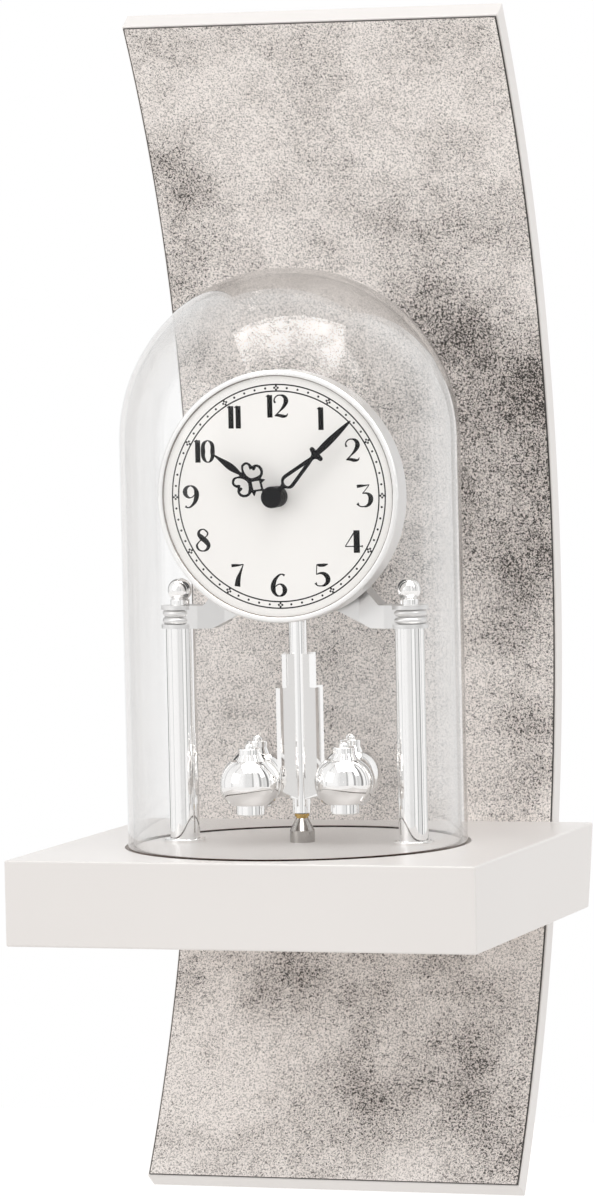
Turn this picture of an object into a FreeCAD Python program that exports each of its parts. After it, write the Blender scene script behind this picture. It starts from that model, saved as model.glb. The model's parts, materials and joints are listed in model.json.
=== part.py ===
import FreeCAD, Part
import math
import os
from FreeCAD import Vector

# Wall console with a torsion pendulum clock under a glass dome.
# Millimetres. The origin is the middle of the hanging block's flat back, on the wall.
# +X is to the right, +Y points into the wall and +Z is up, so the dial faces -Y.

# Wall panel: a board bent to an arc, its two ends curving forward, with a thin decor sheet
panel_width = 152.0
panel_front_radius = 407.5
panel_arc_length = 475.8
panel_thickness = 8.4
panel_edge_round = 0.5
decor_thickness = 0.8
decor_inset = 0.7

# Hanging block, keyhole plates and their screws
block_width = 112.0
block_height = 84.0
block_depth = 10.0
block_edge_round = 1.2
hanger_spacing = 70.0
hanger_height = 40.0
hanger_width = 20.0
hanger_thickness = 1.6
hanger_corner = 3.0
keyhole_entry_radius = 4.5
keyhole_slot_radius = 2.25
keyhole_rise = 9.0
keyhole_drop = 4.0
keyhole_room_margin = 2.0
keyhole_room_depth = 4.6
hanger_screw_inset = 4.5
hanger_screw_radius = 1.5
hanger_screw_head_radius = 2.9
hanger_screw_length = 8.0
hanger_screw_slot = 0.7

# Shelf
shelf_width = 184.4
shelf_thickness = 32.6
shelf_drop = 89.4
shelf_front_reach = 74.1
shelf_edge_round = 0.8
groove_depth = 3.5
groove_play = 1.3
shelf_screw_radius = 2.25
shelf_screw_head_radius = 4.2
shelf_screw_head_height = 2.6
shelf_screw_grip = 24.0
shelf_screw_spacing = 48.0
shelf_screw_cover = 2.0
screw_play = 0.05

# Glass dome
dome_axis_reach = 100.0
dome_radius = 65.0
dome_wall = 2.1
dome_height = 219.9
dome_rim_round = 0.5

# Columns
column_spread = 92.0
column_setback = 1.0
column_radius = 5.7
foot_radius = 7.85
foot_height = 1.4
foot_round = 0.35
rod_radius = 2.0
rod_play = 0.1
washer_radius = 4.5
washer_thickness = 0.8
nut_across_flats = 7.0
nut_height = 3.2
nut_room_radius = 6.0
nut_room_depth = 7.0
rod_tail = 1.2

# Bridge: die-cast carrier between the columns
bridge_bottom = 82.5
bridge_height = 8.8
bridge_front = 5.0
bridge_depth = 11.0
bridge_bend_x = 31.8
bridge_shoulder_x = 35.15
bridge_slope_x = 37.4
bridge_rise_deg = 26.5
bridge_shoulder_deg = 47.7
plate_half_width = 27.0
plate_thickness = 2.0
plate_setback = 1.6
plate_top = 148.0
plate_notch_half = 14.0
plate_notch_top = 104.0
flange_radius = 7.3
flange_height = 1.6
collar_radius = 5.6
bead_reach = 6.75
finial_neck_radius = 3.65
finial_neck_height = 2.3
finial_radius = 4.6
finial_rise = 5.8

# Dial and its drum, measured from the dial's face
dial_height = 133.5
dial_front_reach = 16.2
dial_radius = 46.9
dial_thickness = 0.8
bezel_radius = 48.0
bezel_wall = 1.0
bezel_depth = 10.0
bezel_lip = 1.2
bezel_lip_width = 2.4
bezel_lip_round = 0.9
dial_spacer_radius = 6.5
bush_radius = 3.0
bush_flange_radius = 5.0
dial_nut_radius = 4.0
dial_nut_height = 3.4

# Hands
hand_thickness = 0.45
hour_hand_gap = 0.75
hour_collet_depth = 1.4
hour_collet_radius = 4.0
hand_gap = 0.65
hub_radius = 4.1
cap_nut_height = 1.0
cap_nut_round = 0.4
minute_angle_deg = 48.0
hour_angle_deg = 304.9
hand_ornament = 10.0

# Clockwise halves of the hands' outlines and windows, as (across, along) shares of the ornament
minute_outline_shares = [
    (0.100, 0.30), (0.095, 0.58), (0.125, 0.64), (0.200, 0.70), (0.258, 0.77), (0.285, 0.85),
    (0.285, 0.95), (0.260, 1.10), (0.185, 1.55), (0.120, 1.95), (0.085, 2.10), (0.078, 2.19),
    (0.110, 2.26), (0.175, 2.31), (0.250, 2.33), (0.305, 2.35), (0.328, 2.39), (0.328, 2.44),
    (0.300, 2.485), (0.250, 2.50), (0.105, 2.505), (0.115, 2.64), (0.128, 2.85), (0.133, 3.02),
    (0.125, 3.30), (0.105, 3.60), (0.078, 3.90), (0.052, 4.10), (0.035, 4.20), (0.018, 4.255)]
minute_window_shares = [
    (0.0, 0.71), (0.075, 0.722), (0.130, 0.762), (0.158, 0.83), (0.152, 0.93), (0.130, 1.06),
    (0.065, 1.45), (0.0, 1.79)]
hour_outline_shares = [
    (0.055, 0.30), (0.055, 0.50), (0.200, 0.665), (0.280, 0.645), (0.380, 0.62), (0.368, 0.675),
    (0.330, 0.745), (0.320, 0.795), (0.400, 0.795), (0.500, 0.81), (0.595, 0.865), (0.672, 0.960),
    (0.705, 1.085), (0.680, 1.195), (0.618, 1.275), (0.545, 1.315), (0.505, 1.340), (0.525, 1.40),
    (0.535, 1.49), (0.525, 1.56), (0.478, 1.635), (0.395, 1.68), (0.300, 1.695), (0.215, 1.65),
    (0.135, 1.575), (0.075, 1.53), (0.062, 1.60), (0.092, 1.74), (0.120, 1.87), (0.133, 2.00),
    (0.130, 2.12), (0.110, 2.28), (0.080, 2.45), (0.052, 2.62), (0.028, 2.78), (0.012, 2.93)]
hour_window_shares = [(0.0, 0.555), (0.105, 0.665), (0.210, 0.790), (0.110, 0.905), (0.0, 1.01)]
scroll_window_shares = [
    (0.185, 1.03), (0.295, 0.945), (0.430, 0.890), (0.520, 0.925), (0.585, 1.01), (0.610, 1.10),
    (0.585, 1.19), (0.500, 1.17), (0.430, 1.170), (0.400, 1.215), (0.428, 1.27), (0.355, 1.33),
    (0.390, 1.395), (0.440, 1.45), (0.455, 1.525), (0.408, 1.585), (0.300, 1.612), (0.210, 1.56),
    (0.140, 1.46), (0.088, 1.32), (0.085, 1.18), (0.120, 1.09)]

# Movement case
case_half_width = 28.0
case_height = 56.0
case_below_arbor = 31.0
case_depth = 17.0
case_wall = 1.5
case_corner = 4.0
case_split = 7.6
bay_play = 0.5
bay_wall = 1.0
post_radius = 1.6
peg_spacing = 37.8
case_screw_radius = 1.0
case_screw_head_radius = 1.9
case_screw_head_height = 1.0
case_screw_length = 9.0

# AA cell and its contacts
cell_radius = 7.1
cell_length = 49.3
cell_nub_radius = 2.75
cell_nub_length = 1.2
contact_thickness = 0.4
contact_width = 9.0
contact_gap = 0.25

# Wheels: teeth and modules
centre_teeth, centre_module = 45, 0.38
third_teeth, third_module = 48, 0.32
seconds_teeth, seconds_module = 30, 0.28
idler_teeth, idler_module = 36, 0.24
small_pinion_teeth = 6
minute_pinion_teeth, motion_teeth, motion_module = 12, 36, 0.40
motion_pinion_teeth, hour_teeth = 10, 40
motion_bearing_deg, knob_bearing_deg = 90.0, 0.0
third_bearing_deg, seconds_bearing_deg = 200.0, 115.0
idler_bearing_deg, rotor_bearing_deg = 85.0, 60.0
pressure_angle_deg = 20.0
addendum_share, dedendum_share, tooth_share = 0.78, 1.12, 0.42
wheel_thickness = 0.8
layer_gap = 0.45
plate_layer_thickness = 0.9
pinion_overlap = 0.25
running_play = 0.06
axle_radius = 0.35
minute_arbor_radius = 1.5
minute_tail_radius = 0.6
hour_pipe_wall = 0.6
pivot_depth = 0.8
end_play = 0.1
knob_arbor_radius = 1.2
knob_radius = 6.0
knob_height = 5.5
knob_gap = 0.6
knob_ribs = 24
knob_rib_radius = 0.45
rotor_magnet_radius = 2.2
rotor_magnet_height = 1.8
stator_thickness = 0.8
stator_bore_play = 0.35
stator_half = 3.6
stator_bar = 2.4
coil_length = 16.0
coil_radius = 3.0
coil_offset = 8.0
board_width = 16.5
board_height = 13.0
board_thickness = 1.0
board_offset_x = 3.6
board_drop = 10.0
board_standoff = 1.1

# Swing unit that hangs and drives the pendulum
swing_case_radius = 10.0
swing_case_height = 7.5
swing_case_wall = 1.2
swing_coil_radius = 8.3
swing_coil_bore = 3.0
swing_coil_height = 4.6
hanging_pin_radius = 0.8
hanging_head_radius = 1.6
hanging_head_height = 1.0
pin_cap_radius = 2.0
pin_cap_height = 0.8
hang_gap = 0.08

# Pendulum
pendulum_setback = 5.5
tube_radius = 3.55
tube_wall = 0.8
tube_bottom = 11.3
magnet_radius = 5.5
magnet_bore = 2.0
magnet_height = 1.7
magnet_gap = 0.8
cap_flange_height = 1.5
cap_plug_height = 6.0
cap_ledge_height = 2.5
cap_room_radius = 2.1
fin_thickness = 2.5
fin_top, fin_step, fin_bottom = 72.5, 59.7, 24.4
fin_upper_reach, fin_lower_reach = 7.5, 10.8
spigot_height = 6.0
arm_bite = 1.5
ball_orbit = 25.4
ball_radius = 11.5
ball_height = 24.3
ball_flat_below = 8.0
ball_flat_above = 8.7
ball_edge_round = 0.6
ball_count = 4
ball_bearing_deg = -31.5
stub_radius = 5.55
stub_height = 4.1
cap_cone_radius, cap_cone_height = 5.3, 2.4
cap_disc_radius, cap_disc_height = 4.2, 2.4
cap_disc_round = 0.5
knob_ball_radius = 1.95
stem_radius = 1.5
stem_play = 0.1
arm_width = 3.2
arm_top, arm_root_bottom, arm_tip_bottom = 24.7, 16.7, 19.4
guide_pin_radius = 0.8
guide_pin_drop = 6.8
guide_plug_height = 4.0

# Guide cup on the shelf
cup_radius = 4.75
cup_height = 4.5
cup_cone_top_radius = 2.35
cup_cone_height = 4.7
cup_bore_radius = 1.7
cup_bore_floor = 1.5
cup_stud_radius = 2.0
cup_stud_length = 9.0
ring_neck_radius = 2.3
ring_radius = 2.85
ring_neck_height = 0.7
ring_height = 1.0
ring_bore_radius = 1.25

overrun = 1.0
same_within = 0.001

# Places worked out from the sizes above
back_radius = panel_front_radius + decor_thickness + panel_thickness
arc_y = -(block_depth + back_radius)
dome_axis_y = arc_y + panel_front_radius - dome_axis_reach
shelf_top_z = -shelf_drop
panel_half_angle = math.degrees(panel_arc_length / 2 / panel_front_radius)
column_y = dome_axis_y + column_setback
pendulum_y = dome_axis_y + pendulum_setback
dial_z = shelf_top_z + dial_height
dial_y = dome_axis_y - dial_front_reach
bridge_front_y = column_y - bridge_front
plate_front_y = bridge_front_y + plate_setback
case_front_y = plate_front_y + plate_thickness
case_back_y = case_front_y + case_depth
case_inner_front_y = case_front_y + case_wall
case_inner_back_y = case_back_y - case_wall
case_bottom_z = dial_z - case_below_arbor
case_top_z = case_bottom_z + case_height
bay_radius = cell_radius + bay_play
bay_axis_z = case_bottom_z + case_wall + bay_radius
bay_axis_y = case_back_y - bay_radius
bay_top_z = bay_axis_z + bay_radius
bezel_back_y = dial_y + bezel_depth
hour_hand_y = dial_y - dial_nut_height - hour_hand_gap - hour_collet_depth - hand_thickness
minute_hand_y = hour_hand_y - hand_gap - hand_thickness
hour_module = (motion_module * (minute_pinion_teeth + motion_teeth)
               / (motion_pinion_teeth + hour_teeth))
hour_pipe_bore = minute_arbor_radius + running_play
hour_pipe_radius = hour_pipe_bore + hour_pipe_wall

# Wheel layers, counted back from the case's front wall
hour_layer_y = case_inner_front_y + layer_gap
motion_layer_y = hour_layer_y + wheel_thickness + layer_gap
train_plate_y = motion_layer_y + wheel_thickness + layer_gap
centre_layer_y = train_plate_y + plate_layer_thickness + layer_gap
third_layer_y = centre_layer_y + wheel_thickness + layer_gap
seconds_layer_y = third_layer_y + wheel_thickness + layer_gap
idler_layer_y = seconds_layer_y + wheel_thickness + layer_gap
rotor_layer_y = idler_layer_y + wheel_thickness + layer_gap
axle_end_y = case_inner_back_y + pivot_depth - end_play
front_pivot_y = case_inner_front_y - pivot_depth + end_play

swing_bottom_z = case_bottom_z - swing_case_height
magnet_top_z = swing_bottom_z - magnet_gap
cap_flange_top_z = magnet_top_z - magnet_height
tube_top_z = cap_flange_top_z - cap_flange_height

X_AXIS, Y_AXIS, Z_AXIS = Vector(1, 0, 0), Vector(0, 1, 0), Vector(0, 0, 1)


def at_stage(height):
    """Height above the shelf's top face."""
    return shelf_top_z + height


def rod(radius, length, x, y, z, along=Z_AXIS):
    return Part.makeCylinder(radius, length, Vector(x, y, z), along)


def slab(width, depth, height, x, y, z):
    return Part.makeBox(width, depth, height, Vector(x, y, z))


def fused(shapes):
    first, rest = shapes[0], shapes[1:]
    return first.fuse(rest).removeSplitter() if rest else first


def turned_z(profile, x, y):
    """Turn a closed outline of (radius, height) points about an upright axis."""
    points = [Vector(x + radius, y, height) for radius, height in profile]
    face = Part.Face(Part.makePolygon(points + points[:1]))
    return face.revolve(Vector(x, y, 0), Z_AXIS, 360)


def upright_prism(outline, front_y, depth):
    """Extrude a closed outline of (x, z) points backwards."""
    points = [Vector(x, front_y, z) for x, z in outline]
    return Part.Face(Part.makePolygon(points + points[:1])).extrude(Vector(0, depth, 0))


def mirrored(shape):
    return shape.mirror(Vector(0, 0, 0), X_AXIS)


def circle_edges(shape, radius, level=None, axis=2):
    """Circular edges of one radius, on one level of one axis if it is given."""
    found = []
    for edge in shape.Edges:
        if edge.Degenerated or not isinstance(edge.Curve, Part.Circle):
            continue
        same_radius = abs(edge.Curve.Radius - radius) < same_within
        if same_radius and (level is None or abs(edge.Curve.Center[axis] - level) < same_within):
            found.append(edge)
    return found


def depth_edges(shape):
    """Straight edges of a block that run along its depth."""
    found = []
    for edge in shape.Edges:
        along = edge.tangentAt(edge.FirstParameter)
        if abs(along.y) > abs(along.x) and abs(along.y) > abs(along.z):
            found.append(edge)
    return found


# Wall panel, decor and hanging block


def arc_board(front_radius, thickness, half_width, half_angle_deg):
    """A board bent round the arc's axis, which lies level in front of the wall."""
    back = front_radius + thickness

    def on_arc(radius, angle_deg):
        angle = math.radians(angle_deg)
        return Vector(-half_width, arc_y + radius * math.cos(angle), radius * math.sin(angle))

    ends = [on_arc(front_radius, -half_angle_deg), on_arc(back, -half_angle_deg),
            on_arc(back, half_angle_deg), on_arc(front_radius, half_angle_deg)]
    edges = [Part.LineSegment(ends[0], ends[1]),
             Part.Arc(ends[1], on_arc(back, 0), ends[2]),
             Part.LineSegment(ends[2], ends[3]),
             Part.Arc(ends[3], on_arc(front_radius, 0), ends[0])]
    face = Part.Face(Part.Wire([edge.toShape() for edge in edges]))
    return face.extrude(Vector(2 * half_width, 0, 0))


def shelf_screw_places():
    level = shelf_top_z - shelf_thickness / 2
    return [(share * shelf_screw_spacing, level) for share in (-1, 0, 1)]


def panel_back_y(level):
    return arc_y + math.sqrt(back_radius ** 2 - level ** 2)


def shelf_screw_seat_y(level):
    return panel_back_y(level) - shelf_screw_head_height - shelf_screw_cover


def wall_panel():
    board = arc_board(panel_front_radius + decor_thickness, panel_thickness,
                      panel_width / 2, panel_half_angle)
    board = board.makeFillet(panel_edge_round, board.Edges)
    for x, z in shelf_screw_places():
        seat = shelf_screw_seat_y(z)
        reach = panel_thickness + 2 * shelf_screw_cover
        board = board.cut(rod(shelf_screw_head_radius + 2 * screw_play, reach, x, seat, z, Y_AXIS))
        board = board.cut(rod(shelf_screw_radius + screw_play, 2 * reach, x, seat - reach, z, Y_AXIS))
    return board


def decor_sheet():
    inset_deg = math.degrees(decor_inset / panel_front_radius)
    sheet = arc_board(panel_front_radius, decor_thickness, panel_width / 2 - decor_inset,
                      panel_half_angle - inset_deg)
    for x, z in shelf_screw_places():
        reach = 4 * decor_thickness + panel_thickness
        hole = rod(shelf_screw_radius + screw_play, 2 * reach, x, panel_back_y(z) - 2 * reach, z, Y_AXIS)
        sheet = sheet.cut(hole)
    return sheet


def hanger_centres():
    return [(-hanger_spacing / 2, 0.0), (hanger_spacing / 2, 0.0)]


def hanger_screw_places():
    offset = hanger_height / 2 - hanger_screw_inset
    return [(x, z + side * offset) for x, z in hanger_centres() for side in (-1, 1)]


def keyhole_cut(x, z, entry, slot, depth, front_y):
    low, high = z - keyhole_drop, z - keyhole_drop + keyhole_rise
    pieces = [rod(entry, depth, x, front_y, low, Y_AXIS),
              slab(2 * slot, depth, keyhole_rise, x - slot, front_y, low),
              rod(slot, depth, x, front_y, high, Y_AXIS)]
    return fused(pieces)


def hanging_block():
    depth = block_depth + block_edge_round * 2
    block = slab(block_width, depth, block_height, -block_width / 2, -depth, -block_height / 2)
    back = [edge for edge in block.Edges
            if max(vertex.Y for vertex in edge.Vertexes) > -same_within]
    block = block.makeFillet(block_edge_round, back)
    inside = rod(back_radius, block_width + 2 * overrun, -block_width / 2 - overrun, arc_y, 0, X_AXIS)
    block = block.cut(inside)
    for x, z in hanger_centres():
        recess = slab(hanger_width, hanger_thickness, hanger_height, x - hanger_width / 2,
                      -hanger_thickness, z - hanger_height / 2)
        corners = depth_edges(recess)
        block = block.cut(recess.makeFillet(hanger_corner, corners))
        room = keyhole_cut(x, z, keyhole_entry_radius + keyhole_room_margin,
                           keyhole_slot_radius + 2 * keyhole_room_margin, keyhole_room_depth,
                           -hanger_thickness - keyhole_room_depth)
        block = block.cut(room)
    for x, z in hanger_screw_places():
        block = block.cut(rod(hanger_screw_radius, hanger_screw_length, x, -hanger_screw_length, z, Y_AXIS))
    return block


def hanger_plates():
    plates = []
    for x, z in hanger_centres():
        plate = slab(hanger_width, hanger_thickness, hanger_height, x - hanger_width / 2,
                     -hanger_thickness, z - hanger_height / 2)
        corners = depth_edges(plate)
        plate = plate.makeFillet(hanger_corner, corners)
        plate = plate.cut(keyhole_cut(x, z, keyhole_entry_radius, keyhole_slot_radius,
                                      hanger_thickness, -hanger_thickness))
        plates.append(plate)
    for x, z in hanger_screw_places():
        cone = Part.makeCone(hanger_screw_radius, hanger_screw_head_radius, hanger_thickness,
                             Vector(x, -hanger_thickness, z), Y_AXIS)
        plates = [plate.cut(cone) for plate in plates]
    return Part.makeCompound(plates)


def hanger_screws():
    screws = []
    for x, z in hanger_screw_places():
        head = Part.makeCone(hanger_screw_radius, hanger_screw_head_radius, hanger_thickness,
                             Vector(x, -hanger_thickness, z), Y_AXIS)
        shank = rod(hanger_screw_radius, hanger_screw_length - hanger_thickness, x,
                    -hanger_screw_length, z, Y_AXIS)
        screw = head.fuse(shank)
        for width, height in ((2 * hanger_screw_radius, hanger_screw_slot),
                              (hanger_screw_slot, 2 * hanger_screw_radius)):
            slot = slab(width, hanger_thickness / 2, height, x - width / 2,
                        -hanger_thickness / 2, z - height / 2)
            screw = screw.cut(slot)
        screws.append(screw)
    return Part.makeCompound(screws)


# Shelf and what is fixed to it


def column_places():
    return {"left": (-column_spread / 2, column_y), "right": (column_spread / 2, column_y)}


def shelf():
    front_y = dome_axis_y - shelf_front_reach
    bottom_z = shelf_top_z - shelf_thickness
    depth = arc_y + panel_front_radius - front_y + overrun
    board = slab(shelf_width, depth, shelf_thickness, -shelf_width / 2, front_y, bottom_z)
    board = board.makeFillet(shelf_edge_round, board.Edges)
    hollow = rod(panel_front_radius, shelf_width + 2 * overrun, -shelf_width / 2 - overrun,
                 arc_y, 0, X_AXIS)
    board = board.common(hollow)
    groove_outer = dome_radius + groove_play
    groove_inner = dome_radius - dome_wall - groove_play
    groove = rod(groove_outer, groove_depth + overrun, 0, dome_axis_y, shelf_top_z - groove_depth)
    core = rod(groove_inner, groove_depth + overrun, 0, dome_axis_y, shelf_top_z - groove_depth)
    board = board.cut(groove.cut(core))
    for x, y in column_places().values():
        board = board.cut(rod(rod_radius + rod_play, shelf_thickness, x, y, bottom_z))
        board = board.cut(rod(nut_room_radius, nut_room_depth, x, y, bottom_z))
    board = board.cut(rod(cup_stud_radius, cup_stud_length, 0, pendulum_y,
                          shelf_top_z - cup_stud_length))
    for x, z in shelf_screw_places():
        start = shelf_screw_seat_y(z) - shelf_screw_length()
        board = board.cut(rod(shelf_screw_radius, shelf_screw_length(), x, start, z, Y_AXIS))
    return board


def shelf_screw_length():
    return panel_thickness + decor_thickness + shelf_screw_grip


def shelf_screws():
    screws = []
    for x, z in shelf_screw_places():
        seat = shelf_screw_seat_y(z)
        head = rod(shelf_screw_head_radius, shelf_screw_head_height, x, seat, z, Y_AXIS)
        shank = rod(shelf_screw_radius, shelf_screw_length(), x, seat - shelf_screw_length(), z, Y_AXIS)
        recess_width = shelf_screw_radius
        recess = slab(recess_width, shelf_screw_head_height / 2, recess_width, x - recess_width / 2,
                      seat + shelf_screw_head_height / 2, z - recess_width / 2)
        screws.append(head.fuse(shank).cut(recess))
    return Part.makeCompound(screws)


def glass_dome():
    foot_z = shelf_top_z - groove_depth
    centre_z = at_stage(dome_height) - dome_radius
    inner = dome_radius - dome_wall
    outer_shell = rod(dome_radius, centre_z - foot_z, 0, dome_axis_y, foot_z)
    outer_shell = outer_shell.fuse(Part.makeSphere(dome_radius, Vector(0, dome_axis_y, centre_z), Z_AXIS,
                                                   0, 90, 360)).removeSplitter()
    inner_shell = rod(inner, centre_z - foot_z, 0, dome_axis_y, foot_z)
    inner_shell = inner_shell.fuse(Part.makeSphere(inner, Vector(0, dome_axis_y, centre_z), Z_AXIS,
                                                   0, 90, 360)).removeSplitter()
    dome = outer_shell.cut(inner_shell)
    rim = circle_edges(dome, dome_radius, foot_z) + circle_edges(dome, inner, foot_z)
    return dome.makeFillet(dome_rim_round, rim)


def column(x, y):
    height = bridge_bottom - foot_height
    tube = rod(column_radius, height, x, y, at_stage(foot_height))
    return tube.cut(rod(rod_radius + rod_play, height, x, y, at_stage(foot_height)))


def column_foot(x, y):
    disc = rod(foot_radius, foot_height, x, y, shelf_top_z)
    disc = disc.makeFillet(foot_round, circle_edges(disc, foot_radius, at_stage(foot_height)))
    return disc.cut(rod(rod_radius + rod_play, foot_height, x, y, shelf_top_z))


def finial(x, y):
    base_z = at_stage(bridge_bottom + bridge_height)
    neck = rod(finial_neck_radius, finial_neck_height, x, y, base_z)
    neck = neck.makeFillet(finial_neck_height / 8,
                           circle_edges(neck, finial_neck_radius, base_z + finial_neck_height))
    ball = Part.makeSphere(finial_radius, Vector(x, y, base_z + finial_rise))
    return neck.fuse(ball).cut(rod(rod_radius, finial_rise, x, y, base_z))


def tie_rods():
    low = shelf_top_z - shelf_thickness + nut_room_depth - washer_thickness - nut_height - rod_tail
    high = at_stage(bridge_bottom + bridge_height + finial_rise)
    rods = [rod(rod_radius, high - low, x, y, low) for x, y in column_places().values()]
    return Part.makeCompound(rods)


def tie_nuts():
    nuts = []
    top = shelf_top_z - shelf_thickness + nut_room_depth
    corner = nut_across_flats / math.sqrt(3)
    for x, y in column_places().values():
        washer = rod(washer_radius, washer_thickness, x, y, top - washer_thickness)
        points = [Vector(x + corner * math.cos(turn * math.pi / 3),
                         y + corner * math.sin(turn * math.pi / 3),
                         top - washer_thickness - nut_height) for turn in range(6)]
        nut = Part.Face(Part.makePolygon(points + points[:1])).extrude(Vector(0, 0, nut_height))
        hole = rod(rod_radius, nut_height + washer_thickness, x, y, top - washer_thickness - nut_height)
        nuts += [washer.cut(hole), nut.cut(hole)]
    return Part.makeCompound(nuts)


# Bridge


def bridge_wing():
    """Right-hand arm: a bar from the column's eye that cranks up behind the dial."""
    bottom, top = at_stage(bridge_bottom), at_stage(bridge_bottom + bridge_height)
    rise = math.tan(math.radians(bridge_rise_deg))
    shoulder = math.tan(math.radians(bridge_shoulder_deg))
    outline = [(column_spread / 2, bottom), (bridge_bend_x, bottom),
               (plate_half_width, bottom + (bridge_bend_x - plate_half_width) * rise),
               (plate_half_width, top + (bridge_shoulder_x - plate_half_width) * shoulder),
               (bridge_shoulder_x, top), (column_spread / 2, top)]
    bar = upright_prism(outline, bridge_front_y, bridge_depth)
    low, high = bottom - overrun, at_stage(plate_top)
    wedge = [Vector(bridge_slope_x, bridge_front_y, low),
             Vector(plate_half_width, plate_front_y, low),
             Vector(plate_half_width - overrun, plate_front_y, low),
             Vector(plate_half_width - overrun, bridge_front_y - overrun, low),
             Vector(bridge_slope_x, bridge_front_y - overrun, low)]
    bevel = Part.Face(Part.makePolygon(wedge + wedge[:1])).extrude(Vector(0, 0, high - low))
    return bar.cut(bevel)


def bridge_eye():
    """Ringed boss round the right-hand column's rod: two flanges with two beads between."""
    x, y = column_spread / 2, column_y
    bottom = at_stage(bridge_bottom)
    parts = [rod(collar_radius, bridge_height, x, y, bottom),
             rod(flange_radius, flange_height, x, y, bottom),
             rod(flange_radius, flange_height, x, y, bottom + bridge_height - flange_height)]
    between = bridge_height - 2 * flange_height
    bead = between / 4
    for level in (bottom + flange_height + bead, bottom + bridge_height - flange_height - bead):
        parts.append(Part.makeTorus(bead_reach - bead, bead, Vector(x, y, level)))
    return parts


def bridge():
    wing, eye = bridge_wing(), bridge_eye()
    halves = [wing] + eye + [mirrored(wing)] + [mirrored(part) for part in eye]
    rise = math.tan(math.radians(bridge_rise_deg))
    edge_z = at_stage(bridge_bottom) + (bridge_bend_x - plate_half_width) * rise
    notch_z = edge_z + (plate_half_width - plate_notch_half) * rise
    right = [(plate_notch_half, at_stage(plate_notch_top)), (plate_notch_half, notch_z),
             (plate_half_width, edge_z), (plate_half_width, at_stage(plate_top))]
    outline = right + [(-x, z) for x, z in reversed(right)]
    plate = upright_prism(outline, plate_front_y, plate_thickness)
    boss_depth = plate_front_y - bezel_back_y
    boss = rod(2 * dial_spacer_radius, boss_depth, 0, bezel_back_y, dial_z, Y_AXIS)
    body = fused(halves + [plate, boss])
    bore_length = boss_depth + plate_thickness
    body = body.cut(rod(bush_radius, bore_length, 0, bezel_back_y, dial_z, Y_AXIS))
    for x, y in column_places().values():
        body = body.cut(rod(rod_radius + rod_play, bridge_height, x, y, at_stage(bridge_bottom)))
    for x, z in peg_places():
        body = body.cut(rod(post_radius, plate_thickness, x, plate_front_y, z, Y_AXIS))
    return body


# Dial, drum and hands


def bezel_drum():
    front_y = dial_y - bezel_lip
    inner = bezel_radius - bezel_wall
    drum = rod(bezel_radius, bezel_back_y - front_y, 0, front_y, dial_z, Y_AXIS)
    room = rod(inner, bezel_back_y - bezel_wall - dial_y, 0, dial_y, dial_z, Y_AXIS)
    opening = rod(bezel_radius - bezel_lip_width, bezel_lip, 0, front_y, dial_z, Y_AXIS)
    hole = rod(bush_radius, bezel_wall, 0, bezel_back_y - bezel_wall, dial_z, Y_AXIS)
    drum = drum.cut(room).cut(opening).cut(hole)
    lip = circle_edges(drum, bezel_radius, front_y, 1)
    drum = drum.makeFillet(bezel_lip_round, lip)
    inner_lip = circle_edges(drum, bezel_radius - bezel_lip_width, front_y, 1)
    drum = drum.makeFillet(bezel_lip_round, inner_lip)
    spacer_y = dial_y + dial_thickness
    spacer = rod(dial_spacer_radius, bezel_back_y - bezel_wall - spacer_y, 0, spacer_y, dial_z, Y_AXIS)
    bore = rod(bush_radius, bezel_back_y - spacer_y, 0, spacer_y, dial_z, Y_AXIS)
    return drum.fuse(spacer).removeSplitter().cut(bore)


def dial_plate():
    plate = rod(dial_radius, dial_thickness, 0, dial_y, dial_z, Y_AXIS)
    return plate.cut(rod(bush_radius, dial_thickness, 0, dial_y, dial_z, Y_AXIS))


def centre_bush():
    front_y = dial_y - dial_nut_height
    length = case_front_y - front_y
    bush = rod(bush_radius, length, 0, front_y, dial_z, Y_AXIS)
    flange = rod(bush_flange_radius, case_wall, 0, case_front_y, dial_z, Y_AXIS)
    bore = rod(hour_pipe_radius + running_play, length + case_wall, 0, front_y, dial_z, Y_AXIS)
    return bush.fuse(flange).cut(bore)


def dial_nut():
    front_y = dial_y - dial_nut_height
    nut = rod(dial_nut_radius, dial_nut_height, 0, front_y, dial_z, Y_AXIS)
    return nut.cut(rod(bush_radius, dial_nut_height, 0, front_y, dial_z, Y_AXIS))


def hand_blank(outline, front_y):
    return upright_prism([(x, dial_z + z) for x, z in outline], front_y, hand_thickness)


def hand_disc(radius, x, z, front_y):
    return rod(radius, hand_thickness, x, front_y, dial_z + z, Y_AXIS)


def ornament_points(shares, side=1):
    return [(side * across * hand_ornament, along * hand_ornament) for across, along in shares]


def both_halves(shares, front_y):
    """Piece or window that is alike on both sides of the hand's middle line."""
    right = ornament_points(shares)
    left = [(-x, z) for x, z in reversed(right) if x > 0]
    return hand_blank(right + left, front_y)


def turned_hand(shape, angle_deg):
    turned = shape.copy()
    turned.rotate(Vector(0, 0, dial_z), Y_AXIS, angle_deg)
    return turned


def minute_hand():
    """Long open drop, a small cross bar with rounded ends and a slim spear."""
    y = minute_hand_y
    hand = fused([hand_disc(hub_radius, 0, 0, y), both_halves(minute_outline_shares, y)])
    hand = hand.cut(both_halves(minute_window_shares, y))
    hand = hand.cut(rod(minute_arbor_radius, hand_thickness, 0, y, dial_z, Y_AXIS))
    return turned_hand(hand, minute_angle_deg)


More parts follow.
